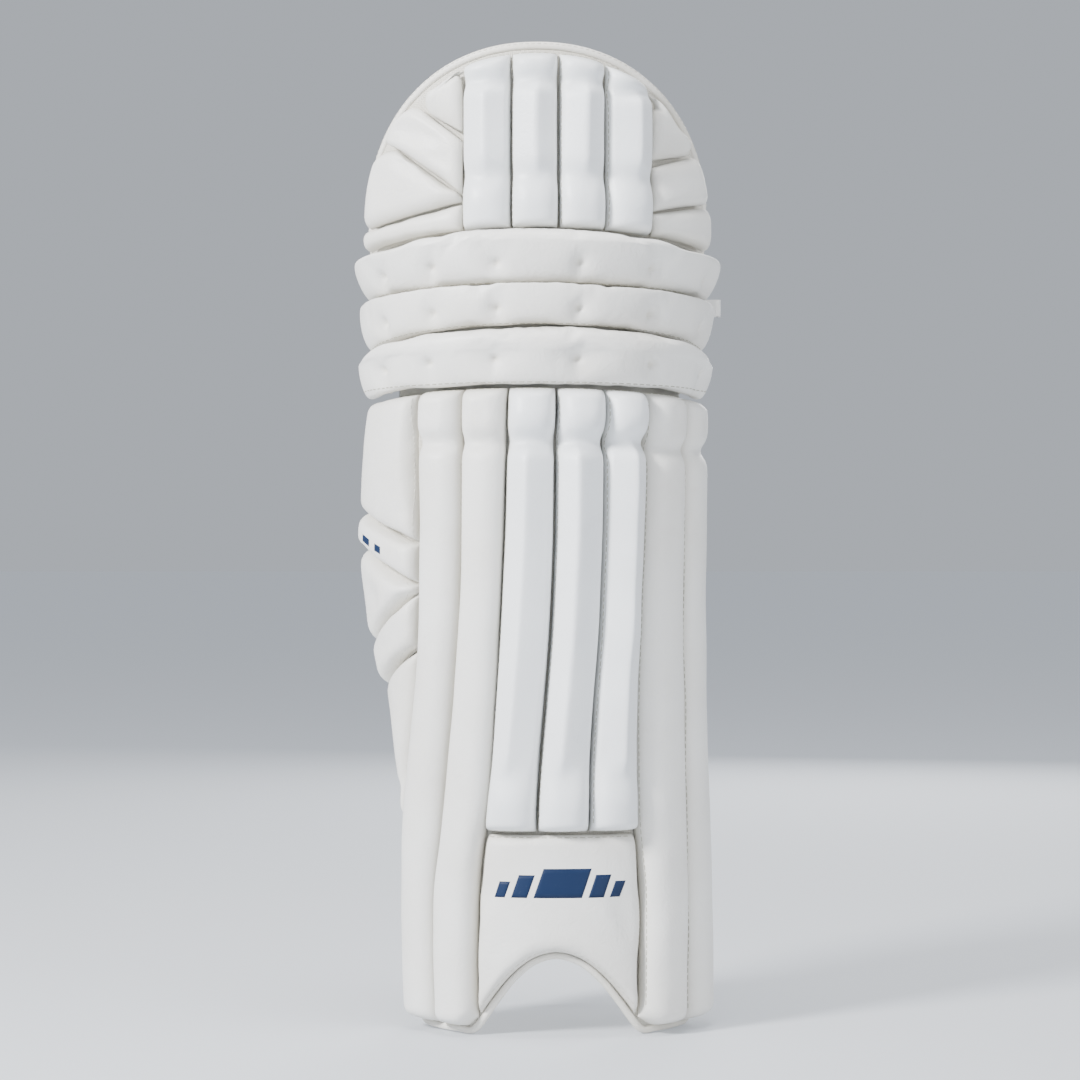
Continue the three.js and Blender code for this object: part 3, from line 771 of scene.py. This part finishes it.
top_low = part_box("top_roll_2")[0]
for number, ridge in zip(range(1, 5), (0.53, 0.54, 0.53, 0.58)):
    low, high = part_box(f"top_roll_{number}")
    upright_roll(f"top_roll_{number}", "top_hat", COOL, ridge,
                 (top_low.z + 38 * MM, high.z - 22 * MM),
                 [(high.z - 20 * MM, 4.5 * MM, 0.36), (top_low.z + 36 * MM, 6 * MM, 0.2)],
                 [(top_low.z + 18 * MM, 10 * MM, 0.12)], 20 + number)

# ---- The cushions ----
DIMPLES = [s * MM for s in (-108, -68, -25, 26, 75, 123)]
waiting, tacked = [], {}


def knee_tacks(node, lift):
    s, low, high = scanned(node, 121)
    return [(at, float(np.interp(at, s, low + lift * (high - low))), 5 * MM, 0.22) for at in DIMPLES]


def dimple(obj, tacks, radius, depth):
    """A sewn tack: a small deep pit with a soft hollow round it, and painted shade in the pit."""
    points = np.array([v.co for v in obj.data.vertices])
    s, z, h = np.moveaxis(unwrap(points), -1, 0)
    seam_tone_and_pit_shade = obj.data.attributes["seam_tone_and_pit_shade"].data
    tone_with_pit_shade = np.zeros(len(seam_tone_and_pit_shade))
    seam_tone_and_pit_shade.foreach_get("value", tone_with_pit_shade)
    for at, level, _, _ in tacks:
        gap = np.hypot((s - at) * 0.8, z - level)
        pit = np.where(h > 8 * MM, np.exp(-((gap / radius) ** 2)), 0)
        hollow = np.where(h > 8 * MM, np.exp(-((gap / (3 * radius)) ** 2)), 0)
        h = h - depth * (pit + 0.35 * hollow)
        # Painted shade: where this value is high the leather colour is darker, so each pit looks shaded.
        tone_with_pit_shade = np.maximum(tone_with_pit_shade, pit)
    seam_tone_and_pit_shade.foreach_set("value", tone_with_pit_shade)
    obj.data.vertices.foreach_set("co", wrap(s, z, h).ravel())
    obj.data.update()


# For each roll: how high its dimples sit, then its hang, lean and ends for cushion().
KNEE_ROLLS = {"lower": (0.45, (4.2 * MM, 1.5 * MM), -0.02, (0.20, 0.12)),
              "middle": (0.45, (0, 0), 0.0, (0.20, 0.12)),
              "upper": (0.40, (0, 0), 0.085, (-0.30, 0.30))}
for number, (level, (lift, hang, lean, ends)) in enumerate(KNEE_ROLLS.items()):
    node = f"knee_roll_{level}"
    tacked[node + ".cover"] = knee_tacks(node, lift)
    cushion(node, f"knee_{level}", WARM, 0.95, 8 * MM, tacked[node + ".cover"], 3.5 * MM,
            seed=31 + number, slack=0.02, mesh=3.6 * MM, tube=True,
            spread=(2.5 * MM, 2.9 * MM, 2.0 * MM), hang=hang, lean=lean, ends=ends)
for number, (name, body) in enumerate([("lower", "shin"), ("heel", "wing"), ("arrow", "wing"),
                                       ("ridge", "wing"), ("upper", "wing")]):
    cushion(f"wing_pad_{name}", body, WARM, 1.12, 8 * MM, cap=2 * MM, seed=41 + number,
            slack=0.02, spread=(1.5 * MM, 0, 0))
for side, count in (("left", 4), ("right", 3)):
    for number in range(1, count + 1):
        cushion(f"top_{side}_pad_{number}", "top_hat", WARM, 0.95, 6 * MM, cap=2 * MM,
                spread=(1.7 * MM, 0.8 * MM, 0), seed=51 + number + count, slack=0.03, mesh=4 * MM)
cushion("instep_panel", "shin", WARM, 0.94, 4.5 * MM, cap=1.5 * MM, seed=61, slack=0.012,
        pressure=2.0)
for number, (node, body) in enumerate(BODY_OF_INNER_PAD.items()):
    cushion(node, body, LINING, 0.85, 12 * MM, cap=3 * MM, inward=True, seed=71 + number,
            slack=0.04)
blow_out()
for obj, body in waiting:
    refine(obj, 2 if obj.name.startswith("knee_roll") else 1)
    if obj.name in tacked:
        dimple(obj, tacked[obj.name], 2.3 * MM, 3.3 * MM)
    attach(obj, body)


# ---- Boards under their lining ----
def lined_board(node, body):
    """A stiff board in fabric: thin, rounded at its edge, with quilted channels on the leg side."""
    s, low, high = scanned(node, 73)
    vs = stops(float(np.median(high - low)), 1.2 * MM, 7 * MM, 4 * MM)[None].T
    z = low[None, :] * (1 - vs) + high[None, :] * vs
    s = np.broadcast_to(s[None, :], z.shape)
    shoulder = quarter(np.minimum(z - low, high - z), 2 * MM)
    shoulder = np.minimum(shoulder, quarter(np.minimum(s - s.min(), s.max() - s), 2 * MM))
    channel = np.abs(np.sin(s / (34 * MM) * math.pi)) ** 0.5
    front = np.stack([s, z, BOARD_DEPTH + 1.7 * MM * shoulder], -1)
    back = np.stack([s, z, BOARD_DEPTH - 1.9 * MM * shoulder + 0.7 * MM * (1 - channel) * shoulder], -1)
    obj = closed(node + ".lining", front, back)
    return finished(refine(obj), body, LINING, [node])


for board, body in BODY_OF_BOARD.items():
    lined_board(board, body)


def thin_patch(node, body, coat):
    """A thin flat piece, such as the wing's board or a hook patch, with soft edges."""
    shares = stops(1.0, 0.01, 0.05, 0.06)
    back = patch(node, shares, shares)
    thick = tall(node) - 0.15 * MM
    u, v = np.meshgrid(shares, shares)
    wide = np.abs(back[:, -1, 0] - back[:, 0, 0])[:, None]
    long = np.abs(back[-1, :, 1] - back[0, :, 1])[None, :]
    soft = quarter(np.minimum(np.minimum(u, 1 - u) * wide, np.minimum(v, 1 - v) * long), 1.2 * MM)
    middle, front = back.copy(), back.copy()
    middle[..., 2] += thick * 0.5 * (1 - soft)
    front[..., 2] += thick * 0.5 * (1 + soft)
    obj = closed(node + ".cover", front, middle)
    return finished(refine(obj), body, coat, [node])


thin_patch("wing_board", "wing", LINING)
for level in STRAP_LEVELS:
    thin_patch(f"{level}_landing_patch", "shin", LOOPS)
    thin_patch(f"{level}_hook_patch", f"{level}_strap", HOOKS)


# ---- Bindings ----
def tube(name, path, half_out, half_deep):
    """A closed rounded strip along a path in shell coordinates, thick sideways and in depth."""
    power, count = 2.6, 16
    across = rightwards(path)
    turn = np.arange(count) / count * 2 * math.pi
    c, s = np.cos(turn), np.sin(turn)
    ring = np.stack([np.sign(c) * np.abs(c) ** (2 / power), np.sign(s) * np.abs(s) ** (2 / power)], -1)
    flat = (path[:, None] + across[:, None] * ring[None, :, :1] * half_out
            + np.array([0, 0, 1.0]) * ring[None, :, 1:] * half_deep)
    rows = len(path)
    faces = ring_faces(rows, count)
    faces += [tuple(range(count))[::-1], tuple((rows - 1) * count + i for i in range(count))]
    points = flat.reshape(-1, 3)
    obj = link(name, wrap(points[:, 0], points[:, 1], points[:, 2]), faces)
    tidy_normals(obj)
    share(obj, "seam_tone_and_pit_shade", np.tile(np.abs(ring[:, 1]) < 0.3, rows).astype(float) * 0.4)
    share(obj, "flat", points)
    return obj


def tidy_normals(obj):
    bm = bmesh.new()
    bm.from_mesh(obj.data)
    bmesh.ops.recalc_face_normals(bm, faces=bm.faces)
    bm.to_mesh(obj.data)
    bm.free()


def outline(node, which):
    """An outline curve of a board: its foot, or its dome, from left to right."""
    bottom, right, top, left = sides_of(rim(node))
    curve = bottom if which == "foot" else np.concatenate([left, top[1:], right[::-1][1:]])
    return along(curve, np.linspace(0, 1, round(steps_of(curve[:, :2]).sum() / (3 * MM))))


def shifted(path, aside, height):
    """A path moved sideways in the shell, to its right, and set to one height."""
    moved = path + rightwards(path) * aside
    moved[:, 2] = height
    return moved


foot_line = outline("shin_board", "foot")
dome_line = outline("top_board", "dome")
hem_depth = foot_line[:, 1].min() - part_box("hem_binding")[0].z
hem = tube("hem_binding.cover", shifted(foot_line, hem_depth - 2.6 * MM, BOARD_DEPTH), 2.6 * MM, 3.1 * MM)
finished(hem, "shin", EDGING, ["hem_binding"])
_, right_side, _, left_side = sides_of(rim("shin_board"))
for name, side, way, until in (("left", left_side, -1, 148 * MM), ("right", right_side, 1, 96 * MM)):
    path = side[(side[:, 1] < until)]
    path = along(np.vstack([path, side[len(path)]]), np.linspace(0, 1, 60))
    tucked = step(path[:, 1], until - 40 * MM, until)
    path[:, 0] += way * (1.6 * MM - 3.4 * MM * tucked)
    path[:, 2] = -2.4 * MM + 2.6 * MM * (1 - tucked)
    finished(tube(f"side_piping.{name}", path, 2.3 * MM, 2.6 * MM), "shin", EDGING)
dome_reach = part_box("top_binding")[1].z - dome_line[:, 1].max()
dome = tube("top_binding.cover", shifted(dome_line, 2.7 * MM - dome_reach, BOARD_DEPTH), 2.7 * MM, 3.1 * MM)
finished(dome, "top_hat", EDGING, ["top_binding"])


# ---- Straps ----
def strap(node, body):
    """Webbing rebuilt round the middle of its CAD loop, with soft selvedges."""
    tree = surface(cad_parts[node])
    low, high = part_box(node)
    z = (low.z + high.z) / 2
    hub = Vector((0.0, 0.022, z))
    line = []
    for angle in np.radians(np.arange(-100, 260, 1.5)):
        way = Vector((math.cos(angle), math.sin(angle), 0))
        near, far = tree.ray_cast(hub, way)[0], tree.ray_cast(hub + way * 0.3, -way)[0]
        if near and far:
            line.append((((near + far) / 2)[:2], (far - near).length))
    centre = np.array([p for p, _ in line])
    thick = float(np.median([t for _, t in line]))
    arc = np.r_[0, np.cumsum(steps_of(centre))]
    even = np.linspace(0, arc[-1], round(arc[-1] / (2.5 * MM)))
    centre = np.stack([np.interp(even, arc, centre[:, k]) for k in (0, 1)], -1)
    ahead = np.gradient(centre, axis=0)
    ahead /= np.linalg.norm(ahead, axis=1, keepdims=True)
    out = np.stack([ahead[:, 1], -ahead[:, 0]], -1)
    half = (high.z - low.z) / 2
    across = np.array([-1, -0.985, -0.94, -0.86, -0.5, 0, 0.5, 0.86, 0.94, 0.985, 1])
    swollen = np.array([0.0, 0.7, 1.0, 0.82, 0.8, 0.8, 0.8, 0.82, 1.0, 0.7, 0.0]) * thick / 2
    ring = np.r_[np.stack([across, swollen], -1), np.stack([across, -swollen], -1)[-2:0:-1]]
    points, flat = [], []
    for at, place in enumerate(centre):
        for w, d in ring:
            points.append((*(place + out[at] * d), z + w * half))
            flat.append((even[at], w * half, d))
    rows, count = len(centre), len(ring)
    faces = ring_faces(rows, count)
    faces += [tuple(range(count)), tuple((rows - 1) * count + i for i in range(count))]
    obj = link(node + ".webbing", points, faces)
    tidy_normals(obj)
    share(obj, "flat", np.array(flat))
    share(obj, "seam_tone_and_pit_shade", np.zeros(len(points)))
    return finished(obj, body, WEBBING, [node])


for level in STRAP_LEVELS:
    strap(f"{level}_strap", f"{level}_strap")


# ---- The size tag: a folded loop of woven tape ----
def folded_tag():
    points = np.array([v.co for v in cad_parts["size_tag"].data.vertices])
    middle = points.mean(0)
    axes = np.linalg.svd(points[:, :2] - middle[:2], full_matrices=False)[2]
    long = axes[0] * np.sign(axes[0][0])
    side = np.array([-long[1], long[0]])
    reach = (points[:, :2] - middle[:2]) @ long
    thick = np.ptp((points[:, :2] - middle[:2]) @ side)
    half_height = np.ptp(points[:, 2]) / 2
    turn = np.linspace(-0.5, 0.5, 9) * math.pi
    bulge = thick * 0.75
    fold = reach.max() - 2 * MM
    line = [(reach.min(), -0.3 * thick)]
    line += [(x, -bulge) for x in np.linspace(reach.min() + 4 * MM, fold, 8)]
    line += [(fold + 1.6 * MM * math.cos(a), bulge * math.sin(a)) for a in turn]
    line += [(x, -y) for x, y in line[8::-1]]
    line = np.array(line)
    inner = line * np.array([1, 0.35]) - np.array([0.45 * MM, 0])
    rows = np.array([-1, -0.9, 0, 0.9, 1]) * half_height
    count = len(line)
    loop = [line, inner]
    points = [(*(middle[:2] + long * x + side * y), middle[2] + z)
              for ring in loop for z in rows for x, y in ring]
    n = len(rows)
    index = lambda k, j, i: (k * n + j) * count + i
    faces = []
    for i in range(count - 1):
        for j in range(n - 1):
            faces.append((index(0, j, i), index(0, j, i + 1), index(0, j + 1, i + 1), index(0, j + 1, i)))
            faces.append((index(1, j, i), index(1, j + 1, i), index(1, j + 1, i + 1), index(1, j, i + 1)))
        faces.append((index(0, 0, i), index(1, 0, i), index(1, 0, i + 1), index(0, 0, i + 1)))
        faces.append((index(0, n - 1, i), index(0, n - 1, i + 1), index(1, n - 1, i + 1), index(1, n - 1, i)))
    for i in (0, count - 1):
        for j in range(n - 1):
            quad = (index(0, j, i), index(0, j + 1, i), index(1, j + 1, i), index(1, j, i))
            faces.append(quad if i == 0 else quad[::-1])
    obj = link("size_tag.tape", points, faces)
    tidy_normals(obj)
    share(obj, "flat", np.array([(x, z, 0) for ring in loop for z in rows for x, y in ring]))
    return finished(obj, "tag", LABEL, ["size_tag"])


folded_tag()


# ---- Fabric across the joints ----
def strip(name, first, second, sag):
    """A thin gusset between two edges in shell coordinates, folded inwards."""
    t = np.linspace(0, 1, 9)[:, None, None]
    middle = first[None] * (1 - t) + second[None] * t
    middle[..., 2] -= sag * np.sin(t[..., 0] * math.pi)
    front, back = middle.copy(), middle.copy()
    front[1:-1, 1:-1, 2] += 0.3 * MM
    back[1:-1, 1:-1, 2] -= 0.3 * MM
    obj = closed(name, front, back)
    finished(obj, None, GUSSET)
    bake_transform(obj)


chain = list(BODY_OF_BOARD.items())
for (below, body_a), (above, body_b) in zip(chain, chain[1:]):
    s_a, _, high_a = scanned(below, 61)
    s_b, low_b, _ = scanned(above, 61)
    s = np.linspace(max(s_a[0], s_b[0]) + 2 * MM, min(s_a[-1], s_b[-1]) - 2 * MM, 121)
    facing_edges = s[np.interp(s, s_b, low_b) - np.interp(s, s_a, high_a) < 8 * MM]
    s = np.linspace(facing_edges[0], facing_edges[-1], 61)
    top, foot = np.interp(s, s_a, high_a), np.interp(s, s_b, low_b)
    first = np.stack([s, top - 4 * MM, np.full(61, BOARD_DEPTH)], -1)
    second = np.stack([s, foot + 4 * MM, np.full(61, BOARD_DEPTH)], -1)
    strip(f"gusset.{body_a}.{body_b}", first, second, 0.8 * MM)

_, wing_edge, _, _ = sides_of(rim("wing_board"))
wing_edge = along(wing_edge, np.linspace(0.02, 0.98, 41))
first, second = wing_edge.copy(), wing_edge.copy()
first[:, 0] += 6 * MM
second[:, 0] -= 5 * MM
first[:, 2], second[:, 2] = 0.1 * MM, 1.6 * MM
s, z, h = wing_edge[20]
start, end = wrap(s + 4 * MM, z, h), wrap(s - 1 * MM, z, h)
strip("gusset.shin.wing", first, second, 0.6 * MM)


# ---- Stitches ----
def drape(tree, s, z, inward=False):
    """The point of a piece over s, z on the shell, and the direction outwards there."""
    far = wrap(s, z, -60 * MM if inward else 60 * MM)
    near = wrap(s, z, 0.0)
    way = Vector(near - far).normalized()
    hit = tree.ray_cast(Vector(far), way, 0.12)[0]
    return (None, None) if hit is None else (np.array(hit), -np.array(way))


def stitches(name, obj, path, body, coat=None, length=3.4 * MM, gap=1.5 * MM, thick=0.36 * MM, inward=False):
    """A row of thread stitches lying on a piece, along a path of (s, z)."""
    tree = surface(obj)
    arc = np.r_[0, np.cumsum(steps_of(path[:, :2]))]
    points, faces = [], []
    sides = 6
    for begin in np.arange(0.6 * MM, arc[-1] - length, length + gap):
        at = begin + length * np.array([0, 0.12, 0.5, 0.88, 1.0])
        rings = [drape(tree, *(np.interp(a, arc, path[:, k]) for k in (0, 1)), inward) for a in at]
        if any(p is None for p, _ in rings):
            continue
        spots, ups = np.array([p for p, _ in rings]), np.array([n for _, n in rings])
        if steps_of(spots).sum() > 2.2 * length:
            continue
        spots = spots + ups * (np.array([-0.35, 0.12, 0.30, 0.12, -0.35]) * thick)[:, None]
        ahead = np.gradient(spots, axis=0)
        ahead /= np.linalg.norm(ahead, axis=1, keepdims=True)
        across = np.cross(ahead, ups)
        base = len(points)
        for spot, up, side, size in zip(spots, ups, across, (0.55, 0.95, 1.0, 0.95, 0.55)):
            for k in range(sides):
                a = 2 * math.pi * k / sides
                points.append(spot + (side * math.cos(a) + up * math.sin(a) * 0.8) * thick * size)
        for j in range(4):
            for k in range(sides):
                faces.append((base + j * sides + k, base + j * sides + (k + 1) % sides,
                              base + (j + 1) * sides + (k + 1) % sides, base + (j + 1) * sides + k))
        faces.append([base + k for k in range(sides)][::-1])
        faces.append([base + 4 * sides + k for k in range(sides)])
    if not points:
        return None
    row = link(name, points, faces)
    tidy_normals(row)
    return finished(row, body, coat or THREAD)


def piece(node):
    return bpy.data.objects[node + ".cover"]


def lining(node):
    return bpy.data.objects[node + ".lining"]


def edge_path(node, which, inset, count=80, outward=False):
    """A path beside one edge of a node: bottom, right, top or left, moved in towards the middle."""
    parts = dict(zip(("bottom", "right", "top", "left"), sides_of(rim(node, outward))))
    path = along(parts[which], np.linspace(0.02, 0.98, count))
    move = {"bottom": (0, 1), "right": (-1, 0), "top": (0, -1), "left": (1, 0)}[which]
    return path[:, :2] + np.array(move) * inset


def edge_stitches(node, which, inset, body, count=80, name=None, **thread):
    """A row of stitches beside one edge of a node's cover."""
    stitches(f"stitches.{name or node + '.' + which}", piece(node), edge_path(node, which, inset, count),
             body, **thread)


FINE = {"coat": PALE_THREAD, "length": 3.0 * MM, "gap": 1.5 * MM, "thick": 0.32 * MM}
INSIDE = {"coat": PALE_THREAD, "gap": 1.8 * MM, "inward": True}
for level in ("middle", "upper", "lower"):
    edge_stitches(f"knee_roll_{level}", "bottom", 1.2 * MM, f"knee_{level}", 160, f"knee_{level}")
edge_stitches("instep_panel", "top", 2.0 * MM, "shin", name="instep_top")
edge_stitches("instep_panel", "bottom", 2.6 * MM, "shin", name="instep_arch", coat=PALE_THREAD)
for side in ("left", "right"):
    edge_stitches("instep_panel", side, 1.6 * MM, "shin", name=f"instep_{side}")
stitches("stitches.dome", dome, shifted(dome_line, -3.0 * MM, 0)[:, :2], "top_hat",
         PALE_THREAD, 2.8 * MM, 1.4 * MM, 0.3 * MM)
for name, body, edges in (("upper", "wing", ("bottom", "right")), ("ridge", "wing", ("bottom", "top")),
                          ("arrow", "wing", ("bottom", "top")), ("heel", "wing", ("bottom",)),
                          ("lower", "shin", ("top", "right"))):
    for edge in edges:
        edge_stitches(f"wing_pad_{name}", edge, 1.3 * MM, body, **FINE)
for node, body in BODY_OF_INNER_PAD.items():
    for edge in ("bottom", "right", "top", "left"):
        stitches(f"stitches.{node}.{edge}", piece(node), edge_path(node, edge, 2.2 * MM, 60, True), body,
                 length=3.6 * MM, **INSIDE)
for node, body in chain[:-1]:
    for edge in ("left", "right"):
        stitches(f"stitches.{node}.{edge}", lining(node), edge_path(node, edge, 4.5 * MM, 120),
                 body, **INSIDE)
for name, node, line in (("inner", "top_board", dome_line), ("foot", "shin_board", foot_line)):
    stitches(f"stitches.{node}.{name}", lining(node), shifted(line, -6 * MM, 0)[:, :2],
             BODY_OF_BOARD[node], **INSIDE)
for number in RIDGES:
    node = f"shin_roll_{number}"
    edge_stitches(node, "bottom", 1.0 * MM, "shin", 30, f"{node}.foot")
for kind, count, body, fineness in (("shin", 7, "shin", 200), ("top", 4, "top_hat", 80)):
    for number in range(1, count + 1):
        node = f"{kind}_roll_{number}"
        edge_stitches(node, "left", 1.1 * MM, body, fineness, f"{node}.side")
        if number < 7:
            edge_stitches(node, "top", 1.2 * MM, body, 20)


# ---- Printed marks ----
def print_mark(name, obj, strips, body):
    """Thin raised print on a piece: each strip runs between a lower and an upper line of (s, z)."""
    tree = surface(obj)
    points, faces = [], []
    for lower, upper in strips:
        lower, upper = np.array(lower, float), np.array(upper, float)
        count = max(6, round(steps_of(lower).sum() / (1.2 * MM)))
        t, old = np.linspace(0, 1, count), np.linspace(0, 1, len(lower))
        low = np.stack([np.interp(t, old, lower[:, k]) for k in (0, 1)], -1)
        top = np.stack([np.interp(t, old, upper[:, k]) for k in (0, 1)], -1)
        rows = 7
        base = len(points)
        lifted, sunk = [], []
        for j in range(rows):
            for i in range(count):
                at = low[i] + (top[i] - low[i]) * j / (rows - 1)
                spot, up = drape(tree, at[0], at[1])
                rim_row = j in (0, rows - 1) or i in (0, count - 1)
                lifted.append(spot + up * (0.05 if rim_row else 0.30) * MM)
                sunk.append(spot - up * 0.5 * MM)
        points += lifted + sunk
        size = rows * count
        front = lambda j, i: base + j * count + i
        for j in range(rows - 1):
            for i in range(count - 1):
                quad = (front(j, i), front(j, i + 1), front(j + 1, i + 1), front(j + 1, i))
                faces.append(quad)
                faces.append(tuple(q + size for q in quad[::-1]))
        border = ([front(0, i) for i in range(count)] + [front(j, count - 1) for j in range(1, rows)]
                  + [front(rows - 1, i) for i in range(count - 2, -1, -1)]
                  + [front(j, 0) for j in range(rows - 2, 0, -1)])
        for a, b in zip(border, border[1:] + border[:1]):
            faces.append((a, a + size, b + size, b))
    mark = link(name, points, faces)
    tidy_normals(mark)
    return finished(mark, body, NAVY)


def slanted(s, z, width, height, slant):
    """A parallelogram bar."""
    return ([(s, z), (s + width, z)], [(s + slant, z + height), (s + width + slant, z + height)])


panel_low, panel_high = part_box("instep_panel")
mark_z = panel_low.z + 0.74 * (panel_high.z - panel_low.z)
left, tall_mark = -38 * MM, 20 * MM
BARS = [(0, 7, 0.55, 4), (11, 10, 0.78, 5.5), (25, 30, 1, 7), (59, 10, 0.78, 5.5), (73, 7, 0.55, 4)]
bars = [slanted(left + at * MM, mark_z - tall_mark / 2, wide * MM, tall_mark * share_up, slant * MM)
        for at, wide, share_up, slant in BARS]
print_mark("instep_mark", piece("instep_panel"), bars, "shin")

ridge_low, _, ridge_top, _ = (along(side, np.linspace(0.26, 0.62, 8))[:, :2]
                              for side in sides_of(rim("wing_pad_ridge")))
dash_low = ridge_low * 0.62 + ridge_top * 0.38
dash_top = ridge_low * 0.42 + ridge_top * 0.58
print_mark("wing_mark", piece("wing_pad_ridge"), [(dash_low[:4], dash_top[:4]), (dash_low[5:], dash_top[5:])],
           "wing")

for number in range(1, 8):
    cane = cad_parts[f"shin_cane_{number}"]
    cane.data.materials.clear()
    cane.data.materials.append(CANE)


# ---- Floor, lights and camera ----
SKY = (0.60, 0.64, 0.70)
low, high = cad_box
floor = link("floor", [(-30, -30, 0), (30, -30, 0), (30, 30, 0), (-30, 30, 0)], [(0, 1, 2, 3)], False)
ground = Look("pale_floor")
ground.finish(paint((0.50, 0.52, 0.55)), 0.9, Emission_Color=paint(SKY), Emission_Strength=0.36)
floor.data.materials.append(ground.material)

world = bpy.data.worlds.new("studio")
bpy.context.scene.world = world
world.use_nodes = True
background = world.node_tree.nodes["Background"]
background.inputs["Color"].default_value = paint(SKY)
background.inputs["Strength"].default_value = 0.8


def soft_light(name, place, size, power):
    """A round soft light aimed at the middle of the pad."""
    data = bpy.data.lights.new(name, "AREA")
    data.shape = "DISK"
    data.size = size
    data.energy = power
    lamp = bpy.data.objects.new(name, data)
    lamp.location = place
    lamp.rotation_euler = (AIM - Vector(place)).to_track_quat("-Z", "Y").to_euler()
    bpy.context.scene.collection.objects.link(lamp)


soft_light("key", (-1.7, -1.5, 1.5), 0.6, 155)
soft_light("fill", (1.9, -1.8, 0.8), 1.6, 28)
soft_light("top", (0.1, -0.4, 2.4), 0.9, 34)
soft_light("back", (0.5, 2.2, 1.1), 1.4, 34)

camera = bpy.data.cameras.new("camera")
camera.lens = LENS
camera.clip_end = 100
eye = bpy.data.objects.new("camera", camera)
eye.location = (CAMERA_X, low[1] - CAMERA_GAP, 0.5 * high[2])
eye.rotation_euler = (math.radians(90), 0, 0)
bpy.context.scene.collection.objects.link(eye)
bpy.context.scene.camera = eye
